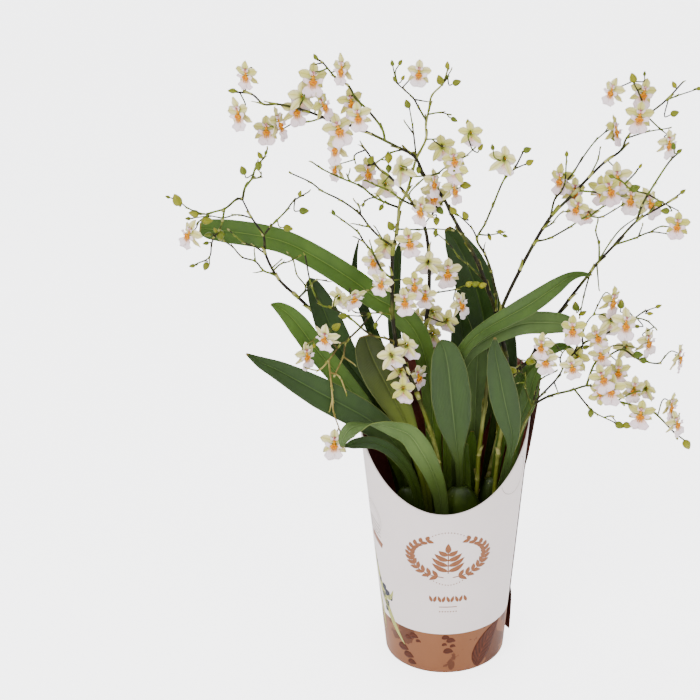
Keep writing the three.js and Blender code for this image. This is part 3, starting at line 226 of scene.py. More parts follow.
# %% A smooth curve through points, and a smooth reading of a list
def curve_point(points, share):
    """A centripetal Catmull-Rom curve through the points, with share from 0 to 1."""
    last = len(points) - 1
    index = min(int(share * last), last - 1)
    w = share * last - index
    p1, p2 = points[index], points[index + 1]
    p0 = points[index - 1] if index else 2 * p1 - p2
    p3 = points[index + 2] if index + 2 <= last else 2 * p2 - p1
    d0, d1, d2 = (max((b - a).length, 1e-6) ** 0.5 for a, b in ((p0, p1), (p1, p2), (p2, p3)))
    t1 = ((p1 - p0) / d0 - (p2 - p0) / (d0 + d1) + (p2 - p1) / d1) * d1
    t2 = ((p2 - p1) / d1 - (p3 - p1) / (d1 + d2) + (p3 - p2) / d2) * d1
    turn = 2 * p1 - 2 * p2 + t1 + t2
    return p1 + w * (t1 + w * (3 * (p2 - p1) - 2 * t1 - t2 + w * turn))


def curve_way(points, share):
    """The direction of the curve at a share of its length, unscaled."""
    return curve_point(points, min(1, share + 0.01)) - curve_point(points, max(0, share - 0.01))


def mix(a, b, share):
    return a + (b - a) * share


def along_list(values, share):
    """A value read smoothly from an evenly spaced list."""
    place = min(share, 0.99999) * (len(values) - 1)
    index = int(place)
    return mix(values[index], values[index + 1], place - index)


print("halfway from 2 to 4 and 9:", round(along_list([2, 4, 9], 0.5), 3))

# %% [markdown]
# ## Pieces
#
# A finished piece is an object at the origin, unturned and unscaled, with its place in its mesh. It
# rides on the one body of this plant and may replace a solid. Normals are recalculated just before the
# mesh is handed over, so every face points outward.


# %% Making a piece from a mesh or a curve
def new_piece(name, data, materials, slot, *nodes):
    piece = bpy.data.objects.new(name, data)
    bpy.context.collection.objects.link(piece)
    for material in materials:
        data.materials.append(material)
    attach(piece, "root")
    if nodes:
        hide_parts(*nodes)
    return piece


def smooth_mesh(name, bm):
    mesh = bpy.data.meshes.new(name)
    bmesh.ops.recalc_face_normals(bm, faces=bm.faces)
    for face in bm.faces:
        face.smooth = True
    bm.to_mesh(mesh)
    bm.free()
    return mesh


def mesh_piece(name, bm, materials, slot, *nodes):
    mesh = smooth_mesh(name, bm)
    print(name, "has", len(mesh.polygons), "faces")
    return new_piece(name, mesh, materials, slot, *nodes)


def merge_doubles(bm, distance=0.01 * MM):
    bmesh.ops.remove_doubles(bm, verts=bm.verts, dist=distance)


# %% [markdown]
# ## Bent grids and their thickness
#
# Leaves, petals, bracts, card and ink are all thin sheets. Each could be extruded edge by edge, but a
# grid from one operator, bent by a function, keeps its own across and along as a UV map. The veins of
# a leaf can then follow its bends. A Solidify modifier or operator turns the sheet into a closed wall.


# %% A grid bent by a function, and the two modifiers
def sheet_grid(bm, columns, rows, place, material=0):
    """A grid of faces; place(across, along) is a point, across from -1 to 1 and along from 0 to 1."""
    uv = bm.loops.layers.uv.verify()
    made = bmesh.ops.create_grid(bm, x_segments=columns, y_segments=rows, size=0.5)["verts"]
    faces = {face for vert in made for face in vert.link_faces}
    for face in faces:
        face.material_index = material
        for loop in face.loops:
            loop[uv].uv = (loop.vert.co.x + 0.5, loop.vert.co.y + 0.5)
    for vert in made:
        vert.co = place(2 * vert.co.x, vert.co.y + 0.5)
    return list(faces)


def subdivide(piece, levels):
    modifier = piece.modifiers.new("Smooth", "SUBSURF")
    modifier.levels = levels
    modifier.render_levels = levels


def thicken(piece, thickness):
    """Gives a sheet a wall that reaches equally far to both of its sides."""
    modifier = piece.modifiers.new("Thick", "SOLIDIFY")
    modifier.thickness = thickness
    modifier.offset = 0


# %% [markdown]
# ## Skin of a pseudobulb
#
# A pseudobulb is the swollen, juicy foot of a shoot. Its skin is green with fine ribs from foot to
# tip, cloudy patches and pale specks, and it is yellower where it meets the bark. The ribs could be
# modelled, but they are shallow, so a noise pulled long in height is enough for them. Round it lie
# dry sheaths, old leaf feet like straw paper with fibres along them.


# %% Green skin and straw sheath
def bulb_surface():
    s = Surface("bulb_green")
    height = s.place().axes()[2]
    ribs = s.noise(60, 3, (1, 1, 0.12))
    colour = s.mix(ribs.step(0.35, 0.7), rgb(0x141E04), rgb(0x2C3C0A))
    colour = s.mix(s.noise(35).step(0.55, 0.72) * 0.4, colour, rgb(0x4E5E1C))
    specks = s.cells(260).step(0.16, 0.08) * s.noise(70, 2).step(0.48, 0.6)
    colour = s.mix(specks * 0.6, colour, rgb(0x8A9450))
    colour = s.mix(height.step(0.125, 0.098) * 0.7, colour, rgb(0x8A8048))
    return s.set(
        Base_Color=colour,
        Roughness=ribs * 0.2 + 0.3,
        Normal=s.bump(ribs, 0.0012),
        Specular_IOR_Level=0.25,
    )


def sheath_surface():
    s = Surface("dry_sheath")
    fibre = s.noise(220, 5, (1, 1, 0.06))
    colour = s.mix(fibre.step(0.35, 0.7), rgb(0x8B7446), rgb(0xD8CBA0))
    return s.set(Base_Color=colour, Roughness=fibre * 0.2 + 0.6, Normal=s.bump(fibre, 0.0005))


BULB_SKIN = [bulb_surface(), sheath_surface()]
print("bulb finishes:", [look.name for look in BULB_SKIN])

# %% [markdown]
# ## Pseudobulbs
#
# Each one is a flattened egg, narrower towards its tip. A scaled sphere would taper the same at both
# ends, so the outline is worked out as a rounded power curve instead, and a grid is wrapped round it.
# Merging its doubles closes the seam and both poles. Two sheaths wrap part of the way round, each a
# grid on the same outline, a little further out, with a thin wall.

# %% Where the four stand, and how large they are
BULBS = {
    "bulb_front": {"foot": [17, -14], "height": 63, "width": 33, "depth": 18, "lean": -0.08},
    "bulb_right": {"foot": [36, 2], "height": 62, "width": 22, "depth": 14, "lean": 0.02},
    "bulb_left": {"foot": [-26, -6], "height": 58, "width": 24, "depth": 14, "lean": -0.06},
    "bulb_back": {"foot": [16, 34], "height": 58, "width": 24, "depth": 14, "lean": 0.04},
}
# where each sheath starts and ends, in half turns, and how much of the height it covers
SHEATHS = ((0.15, 1.25, 0.6), (1.1, 2.2, 0.46))
SHEATH_THICKNESS = 0.00025


# %% One pseudobulb with its sheaths
def pseudobulb(name, foot, height, width, depth, lean):
    """A flattened, ribbed egg with dry sheaths wrapped round its lower half."""

    def surface_point(angle, share, swell):
        half = max(0.0, 1 - abs(2 * share - 1) ** 2.6) ** 0.42 / 2
        narrow = (1 - 0.28 * share) * 1.2 * half * swell * (1 + 0.025 * math.sin(9 * angle))
        x = foot[0] + math.cos(angle) * narrow * width + lean * share * height
        y = foot[1] + math.sin(angle) * narrow * depth
        return Vector((x, y, ROOT_HEIGHT + share * height)) * MM

    bm = bmesh.new()
    sheet_grid(bm, 48, 30, lambda x, share: surface_point(x * math.pi, share, 0.985))
    merge_doubles(bm, 0.00002)
    for start, end, top in SHEATHS:

        def wrapped(x, share):
            angle = math.pi * (start + (end - start) * (x + 1) / 2 + 1)
            return surface_point(angle, share * top * (1 - 0.35 * x * x) + 0.02, 1.02 + 0.02 * share)

        sheath = sheet_grid(bm, 24, 12, wrapped, material=1)
        bmesh.ops.solidify(bm, geom=sheath, thickness=SHEATH_THICKNESS)
    mesh_piece(name + "_skin", bm, BULB_SKIN, "bulb", name)


for name, bulb in BULBS.items():
    pseudobulb(name, **bulb)

# %% [markdown]
# ## Finish of a leaf
#
# An orchid's leaf is a leathery strap. It has fine veins along its length, a paler groove down the
# middle, cloudy patches, a thin pale edge that is a painted highlight, a dry tip and a few dark specks.
# Painted shade darkens the fold beside the middle and the sides towards both edges. Painting these marks
# would take a picture, and a pattern in space would cut across a bent leaf, so the veins read the
# leaf's own across and along. Low down, between the others, a leaf gets less light and looks deeper
# green, and its colour is painted darker there as painted shade.


# %% One leaf finish, from three greens
FOOT_YELLOW = rgb(0x7C8A2C)
PAINTED_EDGE_HIGHLIGHT = rgb(0xA6A95C)
TIP_BROWN = rgb(0x8C7038)
SPECK = rgb(0x2B2412)
SHADE = rgb(0x141C04)


def leaf_surface(name, dark, middle, light, specks=0.0, foot=0.1, foot_end=0.45):
    """Greens from dark to light; foot and foot_end say how yellow it is, and up to where."""
    s = Surface(name)
    dark, middle, light = map(rgb, (dark, middle, light))
    across, along = s.across_along()
    side = from_middle(across)
    veins = stripes(across * 170 + s.noise(30, 2) * 9)
    cloud = s.noise(17, 2).step(0.3, 0.75)
    streak = s.noise(55, 5, (1, 1, 0.25)).step(0.35, 0.7)
    colour = s.mix(cloud * 0.5 + streak * 0.5, dark, middle)
    colour = s.mix(along.step(foot_end, 0.1) * foot, colour, FOOT_YELLOW)
    colour = s.mix(veins * 0.13, colour, light)
    # painted shade: darker in the fold beside the middle and towards both edges
    colour = s.mix(side.step(0.3, 0.05) * 0.3 + side.step(0.6, 0.95) * 0.3, colour, dark)
    colour = s.mix(side.step(0.05, 0.0) * 0.4, colour, light)
    # painted highlight: a thin pale line along both edges of the leaf
    colour = s.mix(side.step(0.94, 1) * 0.25, colour, PAINTED_EDGE_HIGHLIGHT)
    colour = s.mix(along.step(0.975, 1) * 0.6, colour, TIP_BROWN)
    spots = s.cells(240).step(0.17, 0.06) * s.noise(48, 2).step(0.5, 0.6)
    colour = s.mix(spots * (0.3 + specks), colour, SPECK)
    # painted shade: leaves turn darker below 0.2 m, deep in the sleeve
    low_painted_shade = s.place().axes()[2].step(0.2, 0.13)
    colour = s.mix(low_painted_shade * 0.6, colour, SHADE)
    height = veins * 0.2 + side.step(0.16, 0) * -1.0 + streak * 0.25
    return s.set(
        Base_Color=colour,
        Roughness=streak * 0.12 + cloud * 0.08 + 0.32,
        Normal=s.bump(height, 0.0005),
        Specular_IOR_Level=0.22,
    )


# %% Seven greens, and which leaf has which
LEAF_SURFACES = {
    "fresh": leaf_surface("leaf_fresh", 0x294408, 0x3E5A10, 0x728438),
    "dark": leaf_surface("leaf_dark", 0x132404, 0x203A05, 0x465C1C),
    "olive": leaf_surface("leaf_olive_green", 0x1C2402, 0x2E3904, 0x5C6620, foot=0.75, foot_end=0.8),
    "grey": leaf_surface("leaf_grey_green", 0x1C2E0E, 0x2B4014, 0x5A6C36),
    "pale": leaf_surface("leaf_pale_green", 0x33481A, 0x4A602C, 0x7C8C56),
    "bright": leaf_surface("leaf_bright_green", 0x243A0C, 0x385212, 0x6C7C34),
    "spotted": leaf_surface("leaf_with_specks", 0x162806, 0x22380A, 0x4E662A, specks=0.6),
}
LEAF_LOOKS = {
    "fresh": ["arch", "left", "round_middle", "far_right"],
    "dark": [
        "small_left",
        "dark_left",
        "dark_tall",
        "dark_middle",
        "dark_right",
        "narrow_left",
        "thin_left",
    ],
    "olive": ["olive"],
    "grey": ["front", "front_right"],
    "pale": ["curled", "blue_middle", "right"],
    "bright": ["right_arch", "bright_right", "bulb_tip"],
    "spotted": ["spotted"],
}
LEAF_LOOK = {"leaf_" + leaf: look for look, leaves in LEAF_LOOKS.items() for leaf in leaves}
print("leaves with a finish:", len(LEAF_LOOK))

# %% [markdown]
# ## Leaves
#
# A leaf is drawn by stations from foot to tip: across, up, behind, how wide it is there and, where it
# twists, by how many degrees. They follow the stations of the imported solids. The sheet faces the eye
# at every station, turns by the twist, and folds along its middle like a shallow keel. A ripple
# along the edges keeps it from looking stamped. Folding it with bones and weights would be slower
# and less exact.

# %% The stations of every leaf
LEAVES = {
    "leaf_arch": [
        [-5, 0, 2, 8], [-7, 150, 2, 10], [-9, 200, 2, 13], [-13.5, 248, 2, 15.5], [-22, 275, 3, 18],
        [-38, 294.5, 4, 18.5], [-50, 302, 5, 19], [-70, 318, 8, 18.5], [-100, 338, 12, 18],
        [-120, 348, 14, 18], [-140, 352.8, 15, 18.5], [-160, 355.8, 16, 18], [-174, 357.5, 16, 15],
        [-180.5, 358.3, 16, 8],
    ],
    "leaf_spotted": [
        [-28.5, 137, -6, 6], [-30, 160, -11, 9], [-36, 176, -15, 14], [-47, 191, -20, 20],
        [-62, 203.5, -26, 23], [-78, 213.5, -28, 24], [-95, 223.5, -28, 23.5], [-112, 234, -28, 19.5],
        [-127, 243, -28, 14.5], [-140, 249.7, -28, 9], [-151, 257, -28, 1.5],
    ],
    "leaf_left": [
        [-22, 0, 9, 7], [-35, 158, 2, 10], [-50, 190, -4, 13], [-66, 217, -8, 15], [-82, 240, -8, 16.5],
        [-97, 260, -8, 17], [-110, 280, -8, 16.5], [-118, 290, -8, 13], [-125, 295.5, -8, 8],
        [-130.5, 297.6, -8, 1.5],
    ],
    "leaf_dark_left": [
        [-30, 0, 16, 7], [-36, 150, 14, 9], [-46, 190, 11, 12], [-56, 222, 9, 13.5], [-72, 248, 11, 19],
        [-83, 270, 14, 23], [-89, 288, 16, 21], [-94, 302, 18, 17], [-99, 314, 18, 10],
        [-102, 317, 18, 5],
    ],
    "leaf_olive": [
        [-9, 0, -9, 6], [-15, 143, -9, 7], [-20, 165, -9, 9], [-25.5, 185, -9, 12], [-31, 201, -9, 17],
        [-39, 219, -9, 24], [-47, 236, -9, 28], [-54, 252, -9, 27], [-58.5, 265, -9, 20],
        [-60, 272, -9, 9],
    ],
    "leaf_curled": [
        [-2, 0, -28, 8], [-3, 130, -31, 11], [-10, 156, -34, 15], [-19, 175, -37, 18],
        [-28, 188, -39, 16, -8], [-40, 193, -41, 13, -30], [-50, 195.5, -42, 12, -58],
        [-57, 196.4, -43, 11, -84], [-65, 195, -44, 12, -125], [-73, 192, -45, 14, -150],
        [-78.5, 185, -46, 9, -165], [-80, 176.5, -46, 2.5, -165],
    ],
    "leaf_small_left": [
        [-15, 0, -20, 6], [-24, 145, -26, 8], [-38, 170, -32, 9.5], [-52, 180, -35, 9.5, -10],
        [-64, 181, -36, 9.5, -15], [-72, 179.5, -36, 7.5, -15], [-78.5, 177.2, -36, 1.5, -15],
    ],
    "leaf_front": [
        [12, 138, -14, 4], [11.2, 163, -20, 6], [9.8, 175, -20, 11], [8.6, 186, -20, 18],
        [7.2, 200, -20, 27], [5.2, 220, -21, 31], [3.2, 242, -22, 28], [0.6, 258, -23, 21],
        [-1.5, 264, -23, 14], [-3.6, 268, -22, 3],
    ],
    "leaf_bulb_tip": [
        [16.6, 138, -11, 9], [16, 162, -11, 8], [16.3, 172, -12, 5.5], [17.8, 180, -11, 1.2],
    ],
    "leaf_front_right": [
        [33, 0, -26, 7], [39, 115, -27, 7], [46, 145, -28, 7], [51.5, 172, -31, 5], [52.6, 186, -34, 11],
        [49.6, 202, -34, 19], [45.6, 221, -34, 22], [41.4, 243, -34, 18.5], [38.6, 258, -34, 11],
        [38.2, 270.5, -34, 1.5],
    ],
    "leaf_right": [
        [9, 0, -2, 8], [8, 160, -4, 9], [8, 215, -7, 10], [11, 244, -8, 11], [19, 259, -9, 12],
        [32, 269, -9, 13], [46, 277, -9, 15.5], [60, 282, -9, 17], [78, 282.6, -9, 17], [91, 282, -9, 14],
        [98.5, 281.3, -9, 7],
    ],
    "leaf_right_arch": [
        [2, 0, -8, 7], [2, 150, -10, 7], [3, 200, -13, 8], [7, 242, -15, 9], [17, 264, -15, 9.5],
        [30, 276.5, -15, 11], [45, 286, -15, 13.5], [60, 295, -15, 15.5], [72, 303.5, -15, 14.5],
        [83, 312, -15, 12], [93, 319.3, -15, 7.5], [101, 321.8, -15, 4.5], [110, 321.3, -15, 1.5],
    ],
    "leaf_dark_tall": [
        [18, 163, 35, 7], [23, 187, 36, 13], [30, 220, 38, 20], [32, 255, 38, 26], [30, 282, 38, 30],
        [26, 302, 38, 31], [20.5, 320, 38, 30], [14.5, 335, 38, 26], [8, 348, 38, 18], [2, 358.5, 38, 5],
    ],
    "leaf_dark_middle": [
        [10, 0, 18, 8], [11, 150, 20, 11], [12.5, 200, 22, 15], [14, 235, 25, 19], [14, 258, 26, 20],
        [13, 276, 26, 17], [11.5, 289, 26, 10], [10.5, 297, 26, 2],
    ],
    "leaf_blue_middle": [
        [21, 0, 9, 8], [22, 150, 9, 11], [23.5, 200, 9, 15], [24.5, 235, 8, 17], [25.5, 257, 6, 15],
        [26.5, 270, 5, 10], [27, 279, 5, 2],
    ],
    "leaf_round_middle": [
        [18, 0, -2, 7], [20, 145, -2, 8], [21.2, 165, -2, 9], [21, 181, -2, 8.5], [21.5, 191, -2, 3],
    ],
    "leaf_dark_right": [
        [28, 0, 25, 8], [35, 160, 24, 10], [42, 200, 23, 13], [46.5, 230, 22, 16], [47.5, 253, 22, 16.5],
        [47, 272, 22, 14], [45, 288, 22, 7], [44, 297, 22, 1.5],
    ],
    "leaf_bright_right": [
        [44, 0, -9, 6], [47, 145, -12, 8], [53, 172, -12, 10], [57.5, 197, -12, 11], [64, 217, -12, 14],
        [67.5, 233, -12, 12.5], [71.5, 244, -12, 7], [75, 250, -12, 1.5],
    ],
    "leaf_far_right": [
        [39.5, 150, 2, 6], [42, 170, 2, 8], [47, 195, 4, 9], [52, 215, 4, 9.5], [59, 236, 4, 10],
        [70, 251, 4, 10], [82, 260.5, 4, 8.5], [91, 263, 4, 5.5], [98.5, 260, 4, 1.5],
    ],
    "leaf_narrow_left": [
        [-12, 0, 24, 6], [-20, 160, 22, 8], [-28, 205, 21, 9], [-35, 250, 20, 10], [-38, 280, 20, 10],
        [-37.5, 305, 20, 9.5], [-36, 325, 20, 8], [-34, 340, 20, 5.5], [-31.5, 350, 20, 1.5],
    ],
    "leaf_thin_left": [
        [-22, 0, 34, 6], [-28, 165, 33, 8], [-38, 220, 32, 9], [-50, 262, 31, 9], [-62, 298, 30, 8],
        [-67, 320, 28, 6], [-66, 336, 28, 3.5], [-63.3, 349, 28, 1],
    ],
}
print("leaves to grow:", len(LEAVES))

# %% A folded strap between its stations
KEEL = 0.12
KEEL_ROUNDING = 0.006
RIPPLE = 0.25
LEAF_THICKNESS = 0.0007


def leaf(name, stations, surface):
    """A strap leaf, folded along its middle, that turns and narrows as its stations say."""
    middle = [spot(*station[:3]) for station in stations]
    widths = [station[3] for station in stations]
    turns = [math.radians(station[4]) if len(station) > 4 else 0.0 for station in stations]
    eye = Vector((0, -EYE_BACK, EYE_UP)) * MM
    wave = random.Random(name).uniform(0, 9)

    def place(x, share):
        centre = curve_point(middle, share)
        ahead = curve_way(middle, share).normalized()
        face = eye - centre
        face = (face - ahead * face.dot(ahead)).normalized()
        face = Matrix.Rotation(along_list(turns, share), 3, ahead) @ face
        side = ahead.cross(face)
        width = along_list(widths, share) * MM
        ripple = RIPPLE * MM * math.sin(17 * share + wave) * x * x
        sink = KEEL * width * (1 - math.sqrt(x * x + KEEL_ROUNDING)) - ripple
        return centre + side * (x * width / 2) - face * sink

    bm = bmesh.new()
    sheet_grid(bm, 10, 5 * len(stations), place)
    piece = mesh_piece(name + "_blade", bm, [surface], "leaf", name)
    thicken(piece, LEAF_THICKNESS)
    subdivide(piece, 1)


# %% All the leaves
for name, stations in LEAVES.items():
    leaf(name, stations, LEAF_SURFACES[LEAF_LOOK[name]])

# %% [markdown]
# ## Finishes of a bloom
#
# Sepals and petals are cream with green veins and a green throat, the lip is white with a blush and
# an orange neck, and buds are yellow-green with three seams. The green throat is partly the sepals' own
# colour and partly painted shade where the blades meet at the root. Each whole bloom or bud also has a
# number of its own, its tone, written on its points as an attribute. A random colour per object
# would do the same for single objects, but here a spray's blooms are one mesh.


# %% Green buds with seams
def bud_surface():
    s = Surface("bud_green")
    across, along = s.across_along()
    seams = (across * 18.85).sin().abs()
    colour = s.mix(s.attribute("tone"), rgb(0x42540A), rgb(0x7C7A10))
    colour = s.mix(along.step(0.6, 1) * 0.35, colour, rgb(0xA09438))
    colour = s.mix(seams.step(0.2, 0) * 0.55, colour, rgb(0x36420E))
    colour = s.mix(s.noise(420).step(0.5, 0.75) * 0.35, colour, rgb(0x6E5818))
    return s.set(
        Base_Color=colour,
        Roughness=s.noise(500) * 0.2 + 0.35,
        Normal=s.bump(seams, 0.0003),
        Specular_IOR_Level=0.2,
    )


# %% Cream sepals and a white lip, which share their fine grain
def petal_finish(s, colour, veins, roughness):
    grain = s.noise(1500, 3)
    return s.set(
        Base_Color=colour,
        Roughness=grain * 0.2 + roughness,
        Normal=s.bump(veins * 0.5 + grain, 0.00012),
        Specular_IOR_Level=0.15,
    )


def sepal_surface():
    s = Surface("sepal_cream")
    across, along = s.across_along()
    side = from_middle(across)
    veins = stripes(side * 26 + along * 3)
    colour = s.mix(s.attribute("tone"), rgb(0xDAD4A0), rgb(0xB4B45A))
    colour = s.mix(side.step(0.75, 0.05) * 0.5, colour, rgb(0xBEB048))
    # green midrib and throat towards the root: partly the sepal's own green, partly painted shade where the
    # blades meet
    colour = s.mix(side.step(0.12, 0) * along.step(1, 0.5) * 0.6, colour, rgb(0x767E14))
    colour = s.mix(along.step(0.28, 0.05) * 0.75, colour, rgb(0x8E961C))
    colour = s.mix(side.step(0.6, 1) * 0.4, colour, rgb(0xE2CCC8))
    colour = s.mix(veins * 0.16, colour, rgb(0xA89A5A))
    return petal_finish(s, colour, veins, 0.42)


def lip_surface():
    s = Surface("lip_white")
    across, along = s.across_along()
    veins = stripes(from_middle(across) * 20 + along * 5)
    colour = s.mix(s.attribute("tone"), rgb(0xE8DCDD), rgb(0xE0CACE))
    colour = s.mix(along.step(0.45, 0.05) * 0.7, colour, rgb(0xDC9C50))
    colour = s.mix(veins * 0.2, colour, rgb(0xC09CA8))
    return petal_finish(s, colour, veins, 0.4)


# %% An orange, warty crest and a pink column
def crest_surface():
    """Yellow-orange, lighter on the raised warts as a painted highlight, and deeper orange where the
    attribute of the hollow is high.
    """
    s = Surface("crest_orange")
    warts = s.noise(650, 3)
    # painted highlight: the warts are lighter orange where they stand highest
    colour = s.mix(warts.step(0.4, 0.62), rgb(0xB46E00), rgb(0xCC8E00))
    colour = s.mix(s.attribute("hollow"), colour, rgb(0xA84E00))
    return s.set(
        Base_Color=colour,
        Roughness=warts * 0.2 + 0.4,
        Normal=s.bump(warts, 0.0004),
        Specular_IOR_Level=0.08,
    )


def column_surface():
    s = Surface("column_pink")
    blush = s.noise(600, 3)
    colour = s.mix(blush.step(0.38, 0.62), rgb(0x78302A), rgb(0xC08C86))
    return s.set(Base_Color=colour, Roughness=blush * 0.2 + 0.3, Normal=s.bump(blush, 0.0002))


BUD = bud_surface()
SEPAL, LIP, CREST, COLUMN, OVARY = range(5)
BLOOM_SURFACES = [sepal_surface(), lip_surface(), crest_surface(), column_surface(), BUD]
print("bloom finishes:", [look.name for look in BLOOM_SURFACES])

# %% [markdown]
# ## Sepals, petals and lip of one bloom
#
# A bloom looks along -Y. It has three sepals and two petals, and a lip of two arms and two broad
# white lobes; two small wings stand beside the column. All are blades that grow from a root to a
# tip. They could be cut from a flat outline, but a grid with six widths from root to tip bends more
# evenly and keeps its across and along for the veins. Each is rounded at its tip, cupped, and
# ruffled along its edges.

# %% The plan of the blades, in millimetres
# name, root (x, z), tip (x, z), widths from root to tip, forward at root, middle and tip, material
BLADES = [
    ("back_sepal", (0, -0.4), (-0.1, 7.6), (3.2, 5.2, 6.0, 5.8, 4.6, 2.6), (0, 0.3, 1.2), SEPAL),
    ("petal", (0.4, -0.8), (9.5, 0.2), (2.6, 4.8, 6.1, 6.2, 5.2, 3.2), (0.2, -0.2, 0.6), SEPAL),
    ("side_sepal", (0.4, -2.8), (7.6, -9.4), (2.2, 3.8, 4.7, 4.6, 3.6, 2.0), (-0.3, -0.9, -0.5), SEPAL),
    ("lip_arm", (0.4, -5.6), (6.6, -2.6), (3.4, 3.4, 3.0, 2.8, 3.2, 3.2), (1.0, 1.8, 2.6), LIP),
    ("lip_lobe", (0.8, -5.8), (3.7, -13.6), (2.8, 3.8, 5.8, 7.3, 7.4, 6.0), (1.0, 2.4, 2.6), LIP),
    ("wing", (0.9, -0.7), (2.6, 2.1), (1.4, 1.8, 1.8, 1.5, 1.1, 0.7), (0.8, 1.4, 1.8), LIP),
]
RUFFLE = {SEPAL: 0.35, LIP: 0.62}
CUP = {SEPAL: 0.9, LIP: 0.3}


# %% One blade
def blade(bm, root, tip, widths, forward, material, mirror, reflex):
    """One sepal, petal or lobe; reflex says how far the tips of sepals bend back."""
    start = Vector((mirror * root[0], root[1]))
    way = Vector((mirror * tip[0], tip[1])) - start
    side = Vector((way.y, -way.x)).normalized()
    low, bend, high = forward

    def place(x, share):
        share = 1 - (1 - share) ** 1.35
        rounding = min(1.0, (1.0 - share) * 4.5) ** 0.55
        at = start + way * share + side * (x * rounding * along_list(widths, share) / 2)
        ruffle = RUFFLE[material] * x * x * math.sin(13 * share + 2 * x + 3 * mirror)
        ahead = mix(mix(low, bend, share), mix(bend, high, share), share)
        ahead += CUP[material] * x * x + ruffle
        ahead -= reflex * (share * way.length / 9) ** 1.6 if material == SEPAL else 0
        return Vector((at.x, -ahead, at.y)) * MM

    return sheet_grid(bm, 6, 10, place, material)


# %% [markdown]
# ## Crest, column and ovary
#
# The crest is a fleshy, toothed cushion in the middle of the lip, with a deep orange hollow and
# three prongs below it, over a neck. The column is the pink hood above, and the ovary the green knob
# behind. These solid lumps could be sculpted, but at this size a sphere from one operator, with its
# points moved by a formula, shows every tooth and stays light enough for dozens of blooms.


# %% Spheres turned into lumps
def paint(made, material):
    for face in {face for vert in made for face in vert.link_faces}:
        face.material_index = material


def ball(bm, around, rings, material, move):
    """A unit sphere whose points are each moved by a function, in millimetres."""
    made = bmesh.ops.create_uvsphere(bm, u_segments=around, v_segments=rings, radius=1)["verts"]
    for vert in made:
        vert.co = Vector(move(vert)) * MM
    paint(made, material)


# %% A cone turned into a prong
PRONG_LENGTH = 2.8
# where a prong hangs, and how far it slants
PRONGS = ((-1.15, 0.35), (0.05, 0.0), (1.15, -0.35))


def prong(bm, across, slant):
    made = bmesh.ops.create_cone(
        bm, cap_ends=True, segments=8, radius1=0.42, radius2=0.16, depth=PRONG_LENGTH
    )["verts"]
    for vert in made:
        down = 0.5 + vert.co.z / PRONG_LENGTH
        vert.co.z = -vert.co.z - 6.9
        vert.co.x += across - down * slant
        vert.co.y -= 2.4 + 0.3 * down
        vert.co *= MM
    paint(made, CREST)


# %% The toothed cushion, its prongs and its neck
def crest(bm, hollow):
    def toothed(vert):
        flat = 1 - vert.co.y**2
        front = vert.co.y < 0
        teeth = 1 + 0.26 * math.cos(9 * math.atan2(vert.co.z, vert.co.x) + 0.6) * flat
        dent = 0.55 * math.exp(-6 * flat) if front else 0
        vert[hollow] = min(1, 1.3 * math.exp(-4.5 * flat)) if front else 0
        return 2.75 * teeth * vert.co.x, (1.35 - dent) * vert.co.y - 2.1, 1.5 * teeth * vert.co.z - 4.5

    ball(bm, 36, 9, CREST, toothed)
    for across, slant in PRONGS:
        prong(bm, across, slant)
    ball(bm, 12, 8, CREST, lambda vert: (0.95 * vert.co.x, 0.7 * vert.co.y - 1.2, 1.8 * vert.co.z - 2.2))


# %% The pink hood and the green knob behind the sepals
def column(bm):
    def hooded(vert):
        mouth = max(0.0, 0.5 - vert.co.z) * (0.45 if vert.co.y < -0.6 else 0.0)
        wide = 1 + 0.2 * vert.co.z
        return wide * vert.co.x, (1 - mouth) * vert.co.y - 1.0, 1.35 * vert.co.z + 0.8

    ball(bm, 12, 8, COLUMN, hooded)


def ovary(bm):
    ball(bm, 10, 6, OVARY, lambda vert: (0.95 * vert.co.x, 1.5 * vert.co.y + 1.1, 0.95 * vert.co.z - 2.2))


# %% [markdown]
# ## Six blooms
#
# Older blooms bend their sepals further back, and no two are quite alike. A mesh for every flower of the
# plant would differ most, but six are enough, from nearly flat to bell-shaped: each is used many times,
# and turned and sized afresh. The tip of every blade is merged to a point and the normals are made to
# agree, and only then do the blades get their thickness. The lumps are closed already.

# %% From blades and lumps to six meshes
PETAL_THICKNESS = 0.0002
REFLEXES = (0.4, 1.2, 2.0, 2.8, 3.6, 4.6)


def bloom_mesh(reflex, draw):
    bm = bmesh.new()
    hollow = bm.verts.layers.float.new("hollow")
    for name, root, tip, widths, forward, material in BLADES:
        for mirror in (1,) if name == "back_sepal" else (1, -1):
            drift = [value + draw.uniform(-0.5, 0.5) for value in (*tip, *forward[1:])]
            blade(bm, root, drift[:2], widths, (forward[0], *drift[2:]), material, mirror, reflex)
    merge_doubles(bm)
    bmesh.ops.recalc_face_normals(bm, faces=bm.faces)
    bmesh.ops.solidify(bm, geom=bm.faces[:], thickness=PETAL_THICKNESS)
    crest(bm, hollow)
    column(bm)
    ovary(bm)
    mesh = bpy.data.meshes.new("bloom")
    bm.to_mesh(mesh)
    bm.free()
    return mesh


petal_draw = random.Random(3)
BLOOMS = [bloom_mesh(reflex, petal_draw) for reflex in REFLEXES]
wide = [vert.co.x / MM for vert in BLOOMS[0].vertices]
print("faces in one bloom:", len(BLOOMS[0].polygons))
print("the flattest bloom is", round(max(wide) - min(wide), 1), "mm wide")

# %% [markdown]
# ## Finishes of stems, twigs and bracts
#
# A stem is green at its foot and dark brown among the flowers, one of them only in a band. The side
# twigs are olive and brown, and dry as straw where they droop. Bracts are small straw-coloured
# scales. Each stem could have its own paint, but one function with two or three heights covers them
# all, because what changes is only where the colours meet.


# %% Stems: green, then dark, and green again above
def stem_finish(s, colour, rough, roughness):
    return s.set(
        Base_Color=colour,
        Roughness=rough * 0.25 + roughness,
        Normal=s.bump(rough, 0.0003),
        Specular_IOR_Level=0.12,
    )


